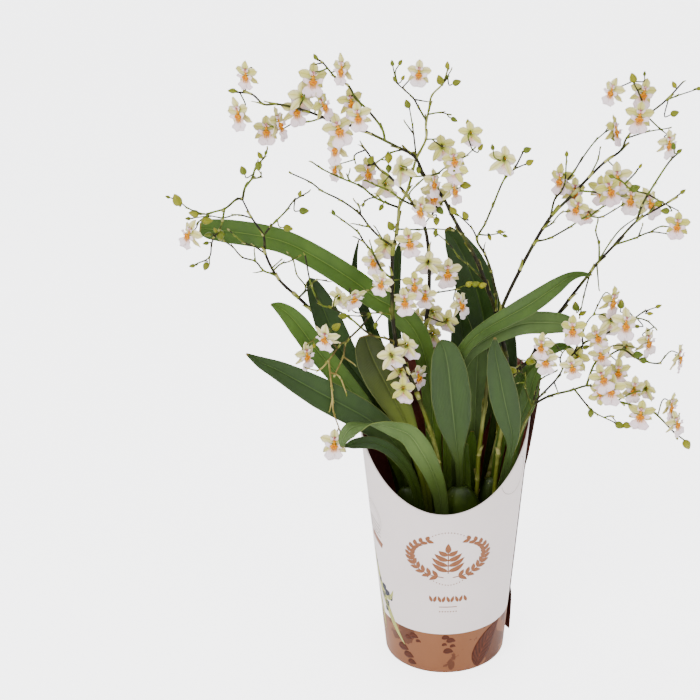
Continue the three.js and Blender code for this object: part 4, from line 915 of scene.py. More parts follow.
def stem_surface(name, low, high, top):
    """Green below low, dark from high up, and green again above top, all in metres."""
    s = Surface(name)
    up = s.place().axes()[2]
    rough = s.noise(260, 5)
    patches = s.noise(50, 3)
    green = s.mix(patches.step(0.4, 0.62), rgb(0x545A18), rgb(0x86884A))
    brown = s.mix(patches.step(0.5, 0.68), rgb(0x161206), rgb(0x3E4212))
    dark = (up + patches * 0.04).step(low, high) * up.step(top + 0.03, top)
    colour = s.mix(dark, green, brown)
    colour = s.mix(rough.step(0.5, 0.8) * 0.25, colour, rgb(0x6E6838))
    return stem_finish(s, colour, rough, 0.38)


# %% Twigs: olive and brown, and straw below a height
def twig_surface(name, dry_below):
    s = Surface(name)
    rough = s.noise(300, 5)
    patches = s.noise(75, 3)
    colour = s.mix(patches.step(0.42, 0.62), rgb(0x1C1A06), rgb(0x4E5A14))
    colour = s.mix(rough.step(0.5, 0.75) * 0.3, colour, rgb(0x76803A))
    straw = s.mix(patches.step(0.4, 0.6), rgb(0x6A5A2A), rgb(0x94844C))
    dry = s.place().axes()[2].step(dry_below + 0.02, dry_below - 0.03)
    colour = s.mix(dry, colour, straw)
    return stem_finish(s, colour, rough, 0.4)


# %% Bracts, and the finishes made
def bract_surface():
    s = Surface("bract_straw")
    across, along = s.across_along()
    fibre = stripes(across * 60)
    blotch = s.noise(180, 4)
    colour = s.mix(blotch.step(0.4, 0.65), rgb(0x6A7024), rgb(0xA8A468))
    colour = s.mix(along.step(0.7, 1) * 0.6, colour, rgb(0x5A4620))
    colour = s.mix(fibre * 0.2, colour, rgb(0x50541C))
    return s.set(
        Base_Color=colour,
        Roughness=blotch * 0.2 + 0.5,
        Normal=s.bump(fibre, 0.0001),
        Specular_IOR_Level=0.12,
    )


STEM_DARK = stem_surface("stem_dark", 0.2, 0.27, 1.0)
STEM_BANDED = stem_surface("stem_banded", 0.225, 0.25, 0.34)
STEM_GREEN = stem_surface("stem_green", 0.2, 0.27, 0.24)
TWIG = twig_surface("twig_olive", 0)
DRY_TWIG = twig_surface("twig_dry", 0.27)
BRACT = bract_surface()
print("stem finishes:", [look.name for look in (STEM_DARK, STEM_BANDED, STEM_GREEN)])
print("twig and bract finishes:", [look.name for look in (TWIG, DRY_TWIG, BRACT)])

# %% [markdown]
# ## Plans of the seven sprays
#
# A spray is one flowering stem with its side branches. Growing it by rules alone would give a plant of
# the same kind, but not this one, so each spray has a plan. Its stem is a list of (across, up,
# behind). A branch says how far behind its tip lies and how thick it is, and then its (across, up)
# points. A bloom is (across, up, behind, heading, nod, roll), with its turns in degrees, of which the
# last two may be left out. A bud is (across, up, behind, angle, length). Above a certain height the
# whole spray leans forward or back by its lean.

# %% A book of plans
SPRAYS = {}

# %% The left-hand spray
SPRAYS["spray_left"] = {
    "lean": -0.35,
    "stem": [
        [-25, 0, 22], [-40, 190, 24], [-54.5, 236, 23], [-80, 270, 21], [-100, 293, 18],
        [-109.5, 303, 15], [-123, 317, 11], [-132.5, 337.7, 6], [-133.4, 352, 4], [-141.5, 366.4, 3],
        [-147.8, 380.8, 2],
    ],
    "branches": [
        [2, 0.8, [-147.8, 380.8], [-144.9, 390], [-139.8, 396.3], [-137.4, 403], [-134, 408],
         [-130.2, 412.3], [-127.8, 418]],
        [0, 0.6, [-139.3, 396.3], [-134.8, 397], [-133, 398.8], [-133.6, 401]],
        [0, 0.8, [-147.8, 380.8], [-150.9, 380.9], [-160.6, 373.3], [-171.5, 369.8], [-176.1, 366.3],
         [-181.3, 362.6]],
        [-3, 0.7, [-160.6, 373.3], [-162.5, 366.3], [-165, 358], [-169.5, 351.7], [-172, 346],
         [-174.3, 335.3], [-184.7, 329.8]],
        [-4, 0.6, [-174.3, 335.3], [-174.5, 332]],
        [6, 0.6, [-141.5, 365.5], [-148.9, 368.2], [-153.6, 368.4], [-163, 366], [-171, 367.5],
         [-186, 365.8]],
        [-2, 0.6, [-171.5, 369.8], [-175.5, 369], [-188, 373.8], [-192.8, 378.3]],
        [3, 0.6, [-132.5, 337.7], [-140, 343.5], [-146.8, 346], [-153.2, 351], [-158, 356]],
        [-2, 0.7, [-123, 317], [-127, 321.5], [-134.5, 324.5], [-140.3, 332], [-149.9, 335.3],
         [-156.5, 343.3], [-162, 347.5]],
        [0, 0.6, [-140.3, 332], [-140.8, 340]],
        [3, 0.6, [-134.5, 324.5], [-140.3, 323]],
        [1, 0.7, [-133.4, 352], [-128.4, 358.8], [-124.8, 362.6], [-116.2, 371.4], [-110.4, 379],
         [-104.8, 382.7], [-99.2, 386]],
        [2, 0.6, [-127.3, 327], [-122, 332.5]],
        [3, 0.6, [-126, 325], [-121.5, 330], [-115, 332], [-108.5, 335.8]],
        [3, 0.6, [-109.5, 303], [-103.7, 311], [-110, 321.5], [-112, 332], [-115.7, 338.5]],
        [6, 0.6, [-109.5, 303], [-101.5, 310.5], [-96, 317], [-91, 317], [-86.5, 315.8]],
    ],
    "blooms": [[-186.6, 356.5, -3, -25]],
    "buds": [
        [-133.3, 414, 1, 120, 6], [-134.7, 405.6, 1, 90, 7.5], [-146, 402.5, 1, 110, 7.3],
        [-129, 415.5, 2, 70, 4], [-105.3, 385, 1, 70, 5], [-102.8, 371.5, 0, 0, 7.7],
        [-115, 358, 0, -10, 7.7], [-174.1, 364.1, 0, 180, 8.5], [-183.8, 369.5, -1, 170, 8],
        [-188.3, 365.6, 5, 180, 4.5], [-195.3, 380, -2, 110, 10], [-202, 382.3, -2, 160, 4],
        [-165.3, 352.3, 0, 270, 9], [-168.5, 356.4, -1, 120, 5], [-174.3, 353, -2, 190, 6],
        [-176.3, 346.3, -2, 190, 5], [-187.6, 328.4, -3, 190, 5], [-177.4, 328, -4, 250, 7],
    ],
}
print("spray_left:", len(SPRAYS["spray_left"]["branches"]), "branches to grow")

# %% The spray in the middle, with drooping twigs on its left
SPRAYS["spray_centre"] = {
    "lean": 0.2,
    "stem": [
        [-6, 0, -14], [-4, 125, -14], [-3.6, 145, -14], [-4.5, 162.5, -14], [-9.7, 187.5, -14],
        [-19.2, 217.7, -14], [-27.8, 241, -14], [-34.9, 257.7, -12], [-38.7, 284, -10], [-39.2, 307, -8],
        [-39, 320, -6], [-38.7, 336.4, -3], [-35.5, 353, 1], [-33.9, 364.4, 3], [-33.2, 373.9, 5],
        [-27.6, 385.7, 7], [-24.2, 397, 8], [-20.5, 411, 8], [-13.4, 426, 8], [-13.3, 436, 8],
        [-11.2, 447.5, 8], [-9, 458, 8], [-1.4, 466.5, 8], [2.1, 476, 8],
    ],
    "branches": [
        [5, 0.7, [-14.2, 439.7], [-18.3, 449], [-22.3, 456.3], [-28, 461.7], [-34.3, 467.5]],
        [4, 0.6, [-22, 455], [-12, 453.5]],
        [6, 0.6, [-20.5, 412], [-22.7, 434], [-25, 449]],
        [5, 0.6, [-22, 430], [-28, 438]],
        [6, 0.6, [-12, 443.9], [-3, 445.6], [2.7, 444.4]],
        [6, 0.6, [-13.4, 426], [-7.8, 426]],
        [7, 0.6, [-1.4, 466.5], [4.5, 476]],
        [0, 0.8, [-33.8, 374], [-41, 377], [-51, 382], [-60.3, 390], [-75.5, 396.9], [-88.8, 403.7],
         [-95.7, 408.7]],
        [2, 0.6, [-51, 382], [-56, 380.5], [-59.5, 377]],
        [0, 0.6, [-68.5, 392.5], [-70, 397], [-68.8, 401.5]],
        [3, 0.6, [-44, 380.5], [-49.5, 384]],
        [4, 0.8, [-38.3, 343.5], [-46.5, 350], [-54.8, 358.8], [-62, 369], [-75.3, 379.5], [-89.4, 387],
         [-97, 393.2], [-110.7, 400]],
        [0, 0.6, [-54.8, 358.5], [-60.3, 360], [-66.7, 361.6]],
        [0, 0.6, [-61.3, 369.5], [-62.3, 374.5], [-65.5, 379]],
        [0, 0.6, [-44.5, 350.5], [-50.5, 358.3]],
        [-4, 0.8, [-39, 318], [-46, 324.5], [-54, 340.2], [-59.5, 347.3], [-63.3, 354.4], [-73.3, 363.2],
         [-81.5, 369.5]],
        [-4, 0.6, [-59.5, 347], [-65.5, 351]],
        [-5, 0.6, [-51, 338], [-55, 347]],
        [0, 0.6, [-34.6, 357], [-20.5, 357], [-8.5, 357.6], [5, 356.5]],
        [-8, 0.6, [-39, 318], [-45, 315], [-50.7, 310], [-56, 309]],
        [-16, 0.8, [-37, 267], [-44, 269.5], [-55.4, 272.5], [-71, 286], [-84.3, 294.5], [-92.2, 297],
         [-99, 311], [-103.3, 337]],
        [-15, 0.6, [-39.2, 290], [-47, 290.4], [-67, 291], [-70.3, 294]],
        [-15, 0.6, [-55, 289], [-61.3, 288], [-71.7, 288.5]],
        [-24, 0.8, [-55, 289], [-62.3, 280], [-71.8, 270], [-75, 266], [-77, 255], [-83.6, 240]],
        [-26, 0.7, [-75, 266], [-78.6, 265], [-87.6, 252.3], [-96, 243.3], [-105.8, 245]],
        [-37, 0.7, [-87.6, 251], [-86.7, 229.5], [-86.2, 219], [-85.8, 208], [-81.5, 192.5]],
        [-32, 0.6, [-86.2, 219], [-88.3, 210]],
        [-22, 0.6, [-82.5, 261.8], [-86, 267], [-96.3, 277]],
        [-22, 0.6, [-94, 272.5], [-101.5, 266.5]],
        [-28, 0.6, [-87, 242], [-80.8, 238], [-75.6, 224]],
        [-22, 0.6, [-77, 255], [-69, 248.3]],
        [-18, 0.6, [-37.3, 267], [-44.5, 254.5], [-36, 241.5]],
        [-16, 0.6, [-47.5, 288.5], [-51.5, 283]],
    ],
    "blooms": [
        [-17.8, 477, 5, 20], [-2, 422.3, 6, 165], [-53.5, 335, -8, -35], [-46, 317.5, -10, -10],
        [-43, 347, -5, 160], [-26.2, 351, -4, -8], [-23, 316.3, -9, 30], [-30, 303.5, -11, 15],
        [-29, 266, -15, 150], [-41, 257.5, -19, 200], [-33.5, 245, -18, 170], [-21, 241, -17, 55, 10],
        [-32, 229.5, -18, 140, 0, 20], [-90, 273, -27, -40, 25], [-79.3, 305, -16, 160],
        [-68, 305.5, -16, 40, 30], [-105.5, 259, -24, 55], [-85.6, 184, -38, -10],
    ],
    "buds": [
        [-35.2, 470, 5, 120, 5], [-36.8, 481.5, 5, 100, 5], [-31, 482, 5, 60, 5],
        [-29.2, 471, 5, 60, 4.5], [-26.4, 452, 5, 110, 7], [6.9, 440.3, 6, -30, 6],
        [-3.1, 469.5, 7, 110, 8], [2.1, 480, 8, 90, 6], [8.8, 467.5, 7, 20, 7], [-59.5, 376, 2, 250, 4],
        [-81.5, 370.5, -4, 110, 5], [-39.5, 360, -1, 120, 8], [-46.5, 374, 3, 240, 6],
        [-53, 310, -8, 190, 5], [-76.7, 288, -16, 180, 7], [-72.3, 295, -16, 90, 5],
        [-81.5, 279.3, -20, 220, 8], [-52, 280, -17, 260, 6], [-99, 263.5, -22, 270, 4],
    ],
}
print("spray_centre:", len(SPRAYS["spray_centre"]["branches"]), "branches to grow")

# %% The spray behind it
SPRAYS["spray_rear"] = {
    "lean": 0.45,
    "stem": [
        [-6, 0, 10], [-12, 200, 14], [-14.5, 277, 14], [-12, 300, 14], [-11.7, 338.7, 14],
        [-15.2, 360.7, 14], [-25.6, 381, 14], [-40.3, 398.3, 13], [-46.8, 403, 12], [-57, 418, 10],
        [-60, 421, 10],
    ],
    "branches": [
        [3, 0.6, [-12, 305], [-5.7, 307], [8.4, 309.7], [15, 312.4], [28.6, 312]],
        [9, 0.6, [-57, 418], [-64.8, 414], [-64.7, 409.7]],
    ],
    "blooms": [
        [-78, 407, 8, -50], [-56.5, 404.5, 9, 20], [-43.5, 394, 14, 170], [-12, 333, 13, 165],
        [2.3, 327, 11, 25], [-14, 307.5, 9, 0], [10.3, 300.5, 9, 45], [-9.5, 293, 17.5, 170],
        [2, 286, 13, 150], [-20, 288, 13, -45], [-9.3, 275, 17.5, 175],
    ],
    "buds": [[18.8, 314, 4, 20, 6.5], [23.5, 314, 3, 20, 6.5], [28.6, 313, 3, 20, 6.5]],
}
print("spray_rear:", len(SPRAYS["spray_rear"]["branches"]), "branches to grow")

# %% The tall spray that arches to the left
SPRAYS["spray_arch"] = {
    "lean": -0.35,
    "stem": [
        [24, 0, 14], [34, 150, 12], [42, 190, 11], [46, 225, 9], [47, 253, 9], [43, 272, 10],
        [38.5, 292, 10], [33, 308, 9], [27, 325, 9], [20, 341, 8], [13.5, 353, 7], [5, 369, 5],
        [0, 380, 4], [-5.5, 388, 3], [-14, 397.5, 1], [-20, 410.5, -2], [-24.3, 415, -3],
        [-31.8, 419, -4], [-52, 429.5, -6], [-64.5, 435, -8], [-81.3, 439.7, -10], [-96.6, 446, -13],
        [-118.7, 451.7, -16], [-128.5, 451.6, -17], [-137, 459, -18], [-148, 460.6, -19],
    ],
    "branches": [
        [-14, 0.6, [-87.7, 441], [-96.6, 439], [-105, 439.3], [-119, 432.7], [-124, 435.8]],
        [-6, 0.8, [-41.9, 427], [-44.7, 433.5], [-54.5, 447], [-63, 456], [-68, 465], [-77, 471],
         [-86, 482], [-89, 484]],
        [-6, 0.6, [-86, 482], [-91.6, 480.5]],
        [-6, 0.6, [-84, 477], [-89, 475]],
        [-9, 0.6, [-30, 418.5], [-38, 416], [-47, 410], [-51, 407]],
        [0, 0.6, [-13.7, 398.2], [-5.5, 400], [2.2, 406], [14.6, 412.7], [21, 418.6]],
        [-2, 0.6, [-13.7, 398], [-24.5, 398], [-30, 401]],
        [-1, 0.6, [-15, 397], [-18.6, 393], [-25.5, 385], [-25, 381]],
        [-1, 0.6, [-0.8, 379.5], [-9, 368.8], [-14.5, 361.8]],
        [-7, 0.8, [-9, 370.2], [-20.8, 375], [-32.2, 380.8], [-39.2, 386.4], [-50.5, 391.5],
         [-56.4, 394.5]],
        [1, 0.6, [0.5, 381], [6, 386], [13, 391]],
        [2, 0.9, [38.5, 292], [38.7, 303.7], [34.8, 323.7], [29.9, 337.7], [24, 349.5], [29.7, 361.3],
         [35, 374.6], [43.9, 396.6], [50.3, 403.4], [57, 417]],
        [0, 0.6, [50.3, 403.4], [59, 407.4]],
        [0, 0.6, [43.9, 397.5], [42, 403.7], [43.4, 409.9]],
        [0, 0.6, [24, 350], [20, 358.2], [9, 369.5]],
        [2, 0.6, [25.8, 353.4], [32, 352.7], [42.4, 354.5]],
        [2, 0.6, [30, 340], [29.5, 344.8]],
        [3, 0.6, [31.3, 316], [18, 329], [11.4, 334.5], [4, 345], [-5.5, 354]],
    ],
    "blooms": [
        [-140, 476, -19, -35], [-147, 448.5, -20, -50], [-128, 436, -20, 0], [-120.5, 441, -17, 60],
        [-106.5, 450.5, -16, 40], [-93, 473.5, -8, 15], [-101, 459, -12, 190], [-88.5, 453.5, -11, 55],
        [-71.5, 480.5, -9, -40], [-67.5, 456.5, -9, 50], [-62, 446, -10, 5], [-77, 437, -13, -10],
        [-77.5, 423, -12, -50], [18.5, 432, 1, 150], [6.3, 413.5, 1, 10], [8, 405, 3, 170],
        [43.4, 413, 1, 165], [-31.7, 406, -5, 200], [-16.5, 375.5, -3, -50], [-7.5, 386.5, 2, 10],
        [-8.5, 396.3, 0, 60], [6, 391, 1, 60],
    ],
    "buds": [
        [-90.9, 486, -6, 120, 5], [-40.5, 411.5, -8, 270, 8], [-40.5, 403.5, -8, 270, 6.5],
        [-53, 410.5, -9, 240, 7], [16.7, 438.5, 0, 90, 5], [26.2, 420, 0, 60, 6], [34.7, 420, 0, 100, 5],
        [59.8, 418, 1, 20, 6.5], [61.8, 408.6, 0, 30, 6.5], [35.5, 376.8, 2, 60, 4],
        [15.2, 368.3, 1, 120, 7], [6.3, 372, 1, 130, 7], [33.3, 350.5, 2, -70, 5], [41.2, 355.5, 2, 0, 5],
        [44.8, 352, 2, -20, 4.5], [-6, 363.5, 0, 270, 7], [-6.5, 355, 3, 260, 6],
        [-3.1, 371.5, -1, 130, 7], [6.3, 387.5, 2, 30, 7], [15.8, 391, 1, -5, 8], [-19, 402.6, -2, 90, 6],
        [-151, 461.5, -19, 180, 6],
    ],
}
print("spray_arch:", len(SPRAYS["spray_arch"]["branches"]), "branches to grow")

# %% The tall spray on the right
SPRAYS["spray_right"] = {
    "lean": 0.3,
    "stem": [
        [22, 0, -4], [26, 148, -6], [26.7, 170, -6], [30.5, 208, -4], [34.5, 245, -2], [39, 270, 0],
        [42.5, 292, 2], [56, 325, 2], [65.4, 344.8, 0], [71.8, 357, -2], [78.8, 368.2, -4],
        [92.2, 382.7, -6], [104, 396.3, -8], [115.7, 408.6, -10], [127.5, 418, -11], [130.8, 426.5, -12],
        [144.1, 442.6, -13], [157.7, 454.6, -14], [168.8, 467.7, -14],
    ],
    "branches": [
        [-8, 0.7, [77.5, 367], [80.7, 380.8], [84.6, 385.8], [87.3, 392.5], [88, 406.8], [88.2, 413.5]],
        [-9, 0.7, [87.3, 392.5], [93.6, 401.2], [98.6, 410], [108, 424], [116, 431.8]],
        [-10, 0.6, [104.3, 397.5], [111, 411], [112, 418]],
        [-12, 0.7, [96, 386.5], [113, 385.2], [118.3, 382.3], [131, 383]],
        [-10, 0.7, [67.3, 347], [76.7, 350], [91.8, 358.8], [104.2, 367], [114, 366.6], [123.9, 372],
         [135, 380]],
        [-7, 0.6, [106, 370], [113.9, 373.3], [127, 380]],
        [-5, 0.6, [71.8, 357], [78.4, 361.4], [85.5, 370], [93.3, 371.8]],
        [-14, 0.6, [157.7, 454.6], [164.6, 457.5], [178.3, 462.3]],
        [-12, 0.6, [130.8, 426.5], [145, 431.3], [160.3, 434]],
        [-12, 0.6, [145, 442], [153.8, 434.3], [161, 428.5]],
        [-13, 0.6, [145, 443], [138.6, 458.7], [132.6, 469.4]],
    ],
    "blooms": [
        [120, 464, -15, -45], [142, 463, -14, -10], [139.5, 446, -16, 5], [121.5, 435.8, -14, 40],
        [161, 426, -14, 50], [84.3, 399, -10, -35], [94.5, 389.8, -10, 40], [105, 371, -9, 15, 40],
        [98, 376.5, -10.5, -15], [114, 391, -12, 0], [119, 391, -13, 10], [125.5, 400, -12, 0],
        [136.7, 384.4, -12, -15], [148.5, 381, -18, 40],
    ],
    "buds": [
        [162.8, 466, -14, 120, 6], [164.5, 445, -13, 20, 7], [133.5, 471, -13, 110, 8],
        [141.5, 474, -13, 90, 4], [121, 427.5, -12, 110, 7], [181, 463, -14, 0, 5],
        [88.2, 415, -8, 90, 5],
    ],
}
print("spray_right:", len(SPRAYS["spray_right"]["branches"]), "branches to grow")

# %% The spray below it
SPRAYS["spray_right_low"] = {
    "lean": -0.5,
    "stem": [
        [36, 0, -12], [42, 170, -6], [48, 215, -3], [52, 238, -2], [65.5, 253, -1], [73, 270, 1],
        [86, 290, 2], [93, 301, 0], [109, 324, -4], [112.9, 330, -5], [125.4, 344.7, -8],
        [140.7, 363.2, -10], [149.4, 369.5, -11], [163.2, 378, -12], [172.4, 385.2, -13],
    ],
    "branches": [
        [-8, 0.8, [140.7, 363.5], [144.4, 375.6], [152.3, 391.4], [163.3, 410], [168.8, 415.5]],
        [-11, 0.6, [112.7, 331], [122.4, 347.2], [129.8, 357.5], [140.3, 366]],
        [-12, 0.7, [125.4, 344.7], [139.6, 350], [151.8, 355], [162.7, 354]],
        [-14, 0.6, [151.8, 355], [159.3, 359.5], [168.3, 358.6]],
        [-13, 0.6, [143, 352.4], [145.5, 360]],
        [-9, 0.6, [147.7, 385.2], [158.4, 378.5], [170, 372.3]],
        [-13, 0.6, [149.5, 370], [153.5, 376]],
        [-5, 0.6, [147, 385], [135, 388.6], [129, 394], [122, 397.6]],
        [-5, 0.6, [131, 392], [138.4, 400.6], [141.2, 405]],
        [-3, 0.6, [109, 323], [104.5, 305], [102, 288.5]],
        [-5, 0.6, [113.3, 330], [115.4, 310.3]],
        [-8, 0.7, [112.7, 334], [114, 346.2], [111.3, 356.3], [112.5, 363]],
    ],
    "blooms": [[171.5, 363.5, -15, -5]],
    "buds": [
        [165, 421, -8, 100, 6], [169.5, 417, -8, 40, 5], [139, 389, -6, 20, 8], [156, 377, -9, 20, 7],
        [161.5, 371.5, -11, 0, 7], [173.8, 386.4, -13, 40, 5], [114, 347, -9, 100, 4],
        [98.6, 296, -3, 100, 8], [104.4, 290.5, -3, 30, 6], [142, 406, -5, 60, 4], [121, 398, -5, 160, 5],
    ],
}
print("spray_right_low:", len(SPRAYS["spray_right_low"]["branches"]), "branches to grow")

# %% The low spray beside the sleeve
SPRAYS["spray_low_right"] = {
    "lean": 0,
    "stem": [
        [43, 0, -19], [46, 130, -20], [49.5, 153, -21], [53.2, 169.6, -22], [61.9, 198, -21],
        [67.9, 213, -20],
    ],
    "branches": [
        [-22, 0.7, [68, 216], [69.8, 222.5], [73.4, 235], [84.6, 242]],
        [-22, 0.8, [69.3, 214.5], [75.5, 223.3], [87, 237.5], [93.8, 251.6], [106, 265.4]],
        [-26, 0.9, [70, 213], [80, 221], [97, 226], [110, 230], [120, 227.2], [137, 215]],
        [-23, 0.6, [83.6, 233.6], [87, 225]],
        [-24, 0.8, [108.9, 230.3], [115.5, 250], [122.3, 253.5], [135, 260.4], [147, 252.7], [163.5, 249],
         [166.8, 253]],
        [-28, 0.7, [99.6, 225.6], [110.5, 212.8], [116.3, 207], [133, 198]],
        [-28, 0.6, [123, 203.7], [128.7, 204], [132.6, 199.6]],
        [-24, 0.7, [66.2, 213], [62.5, 227], [61.5, 239], [57.5, 242]],
        [-24, 0.6, [62.4, 233], [56.8, 232.5]],
        [-22, 0.6, [88.2, 245], [88.2, 254], [96.6, 266.6]],
        [-22, 0.6, [99, 258], [102, 270], [100.8, 271.3]],
        [-22, 0.6, [106, 265.4], [104.8, 276], [111.7, 288.5], [119, 289.5]],
        [-22, 0.6, [111.7, 288.5], [114.3, 295]],
        [-22, 0.6, [126, 254], [126, 262.5], [135, 264], [145, 261.8]],
        [-22, 0.7, [106, 265.4], [125, 275], [143, 286], [152.2, 284.3], [159, 278.5]],
        [-22, 0.6, [143, 286], [149.5, 291.2], [160.8, 295.8]],
        [-22, 0.6, [143, 286], [138.3, 292.2]],
        [-28, 0.6, [132.5, 217], [140.5, 221.8], [148, 225.3]],
        [-28, 0.8, [137, 215], [150, 212], [161.5, 207.3], [178.5, 190], [186.5, 183.3]],
    ],
    "blooms": [
        [97, 280.5, -24, -10], [114.2, 274, -26, 0], [74, 266.3, -24, -35], [77, 254.5, -26, 0],
        [118, 259, -26, 15], [96.8, 249, -26, 0], [119.6, 240, -27, 10], [101.5, 256, -20, 165],
        [126, 304, -22, 50], [136.5, 285.3, -26, 35], [125.5, 287, -20, 160], [153.5, 270.5, -24, 50],
        [178, 257.3, -24, 60], [133, 245.3, -27, 15], [137, 264, -21, 170], [129, 231, -28, -35],
        [145.5, 230.7, -28, 20], [119.8, 220.5, -29, -10, 0, 170], [152, 209.5, -30, 0],
        [174.3, 216.5, -27, 35], [179, 201, -27, 50], [155, 229, -23, 160],
    ],
    "buds": [
        [65.7, 250.3, -23, 170, 8], [52, 243.4, -24, 140, 7.5], [107.6, 262.4, -22, 20, 6],
        [147.5, 256, -24, 0, 8], [151, 251.5, -23, -10, 7], [132.5, 298, -22, 90, 8],
        [154.8, 290, -22, 0, 5], [160.8, 296, -22, 20, 5], [145, 279.5, -23, 0, 5],
        [113, 206, -28, 270, 7], [136, 196, -28, -25, 8], [142, 196, -28, -10, 7.5],
        [189, 179, -28, -60, 9], [181, 185, -28, -70, 4],
    ],
}
print("spray_low_right:", len(SPRAYS["spray_low_right"]["branches"]), "branches to grow")

# %% [markdown]
# ## Lines of a spray
#
# Stems are curves with a round bevel. A tube could be a mesh, but a curve stays light, and its
# thickness can change from point to point. Every stem grown is also remembered as beads, so a new
# branch or stalk can look for the nearest one, just as it looks nearest to the eye.


# %% Points along a stem
BEAD_SPACING = 1.5


def drawn_line(points):
    """Evenly spaced points along the curve through the given ones, a bead spacing or so apart."""
    length = sum((b - a).length for a, b in zip(points, points[1:])) / MM
    count = max(3, round(length / BEAD_SPACING))
    return [curve_point(points, i / count) for i in range(count + 1)]


# %% The nearest stem to a point
def nearest(beads, across, up, behind=None):
    """The stem point that looks closest; its depth counts half where a depth is given."""

    def gap(bead):
        share = (bead.y / MM + EYE_BACK) / EYE_BACK
        depth = 0 if behind is None else 0.5 * (bead.y / MM - behind)
        aside = bead.x / MM / share - across
        above = EYE_UP + (bead.z / MM - EYE_UP) / share - up
        return aside * aside + above * above + depth * depth

    return min(beads, key=gap)


# %% A curve that is given a thickness along it
def stem_curve(name):
    curve = bpy.data.curves.new(name, "CURVE")
    curve.dimensions = "3D"
    curve.bevel_depth = 1.0
    curve.bevel_resolution = 2
    curve.use_fill_caps = True
    return curve


def draw_line(curve, points, radii):
    spline = curve.splines.new("POLY")
    spline.points.add(len(points) - 1)
    for index, (dot, point) in enumerate(zip(spline.points, points)):
        dot.co = (*point, 1)
        dot.radius = along_list(radii, index / (len(points) - 1)) * MM


# %% [markdown]
# ## Growing a spray
#
# A branch starts in the nearest stem grown before it and comes forward or back evenly to its tip.
# Each bend carries a swollen node wrapped in a dry bract, as on the real stem. Nodes could be spheres
# stuck on the stem, but a short, thicker line along the same curve keeps the bend.


# %% A spray while it grows
LEAN_START = 345


class Spray:
    """Holds one spray's plan, its seeded draws, its beads and the shapes grown so far."""

    def __init__(self, name, plan):
        self.name = name
        self.plan = plan
        self.draw = random.Random(name)
        self.beads = []
        self.stem = stem_curve(name + "_stem")
        self.twigs = stem_curve(name + "_twigs")
        self.bracts = bmesh.new()

    def leant(self, up, behind):
        return behind + self.plan["lean"] * max(0, up - LEAN_START)


# %% A bract, and a branch with its nodes
def grow_bract(spray, node, ahead, radius, length):
    """A dry scale that wraps two thirds of the stem and stands off it at its tip."""
    ahead = ahead.normalized()
    side = ahead.orthogonal().normalized()
    side = Matrix.Rotation(spray.draw.uniform(0, 2 * math.pi), 3, ahead) @ side
    other = ahead.cross(side)

    def place(x, share):
        angle = x * 2.2 * (1 - 0.75 * share)
        reach = radius * (1.1 + 0.9 * share * share)
        around = side * math.cos(angle) + other * math.sin(angle)
        return node + (ahead * (share * length) + around * reach) * MM

    sheet_grid(spray.bracts, 6, 5, place)


def grow_branch(spray, curve, points, thick, thin, scale):
    """A stem with a swollen node and a bract at each bend; scale is the length of a bract."""
    line = drawn_line(points)
    draw_line(curve, line, [thick, thin])
    spray.beads += line[:-1]
    for node in points[1:-1]:
        near = min(range(len(line)), key=lambda i: (line[i] - node).length)
        low, high = max(0, near - 1), min(len(line) - 1, near + 1)
        if high - low < 2:
            continue
        radius = mix(thick, thin, near / len(line))
        draw_line(curve, line[low : high + 1], [radius * 0.7, radius * 1.4, radius * 0.7])
        length = scale * spray.draw.uniform(0.7, 1.2)
        grow_bract(spray, line[near], line[high] - line[low], radius, length)
    grow_bract(spray, line[-1], line[-1] - line[-2], thin, 2.6)


# %% The main stem and all of its branches, with radii and bract lengths in millimetres
STEM_RADIUS = 1.85
STEM_TIP = 0.35
STEM_BRACT = 8.5
TWIG_BRACT = 3.2


def grow_stems(spray):
    main = [spot(across, up, spray.leant(up, behind)) for across, up, behind in spray.plan["stem"]]
    grow_branch(spray, spray.stem, main, STEM_RADIUS, STEM_RADIUS * STEM_TIP, STEM_BRACT)
    for tip_behind, thick, first, *others in spray.plan["branches"]:
        start = nearest(spray.beads, *first)
        tip = spray.leant(others[-1][1], tip_behind)
        points = [start]
        for step, (across, up) in enumerate(others, 1):
            points.append(seen(across, up, mix(start.y / MM, tip, step / len(others))))
        grow_branch(spray, spray.twigs, points, thick * 1.2, thick * 0.75, TWIG_BRACT)


# %% The stalk of a bloom or bud
STALK_RADIUS = 0.56


def grow_stalk(spray, head, joint, back):
    """A thin stalk from a joint on a stem, which reaches the head from its back."""
    bow = head + back * (0.4 * (head - joint).length)
    line = [curve_point([joint, bow, head], i / 8) for i in range(9)]
    draw_line(spray.twigs, line, [STALK_RADIUS, STALK_RADIUS * 0.8])


# %% [markdown]
# ## Blooms and buds on a spray
#
# Each bloom is one of the six meshes, turned to its heading with a little chance in every turn, and
# set on the end of a stalk. Instances would be lighter still, but each bloom needs its own place in the
# spray's mesh and its own tone. A bud is an egg with three shallow seams, from a grid whose seam and
# poles are merged.


# %% Turning a bloom, and giving new points their tone
def turned_by(draw, heading, nod, roll):
    """A turn about the upright, across and forward axes in degrees, each with some chance."""
    heading += draw.uniform(-22, 22)
    nod += draw.uniform(-14, 10)
    roll += draw.uniform(-18, 18)
    return (
        Matrix.Rotation(math.radians(heading), 3, "Z")
        @ Matrix.Rotation(math.radians(nod), 3, "X")
        @ Matrix.Rotation(math.radians(roll), 3, "Y")
    )


def new_points(bm, before):
    bm.verts.ensure_lookup_table()
    return bm.verts[before:]


# %% The blooms
DEPTH_CHANCE = 9
FARTHEST_FORWARD = -60
FARTHEST_BACK = 58


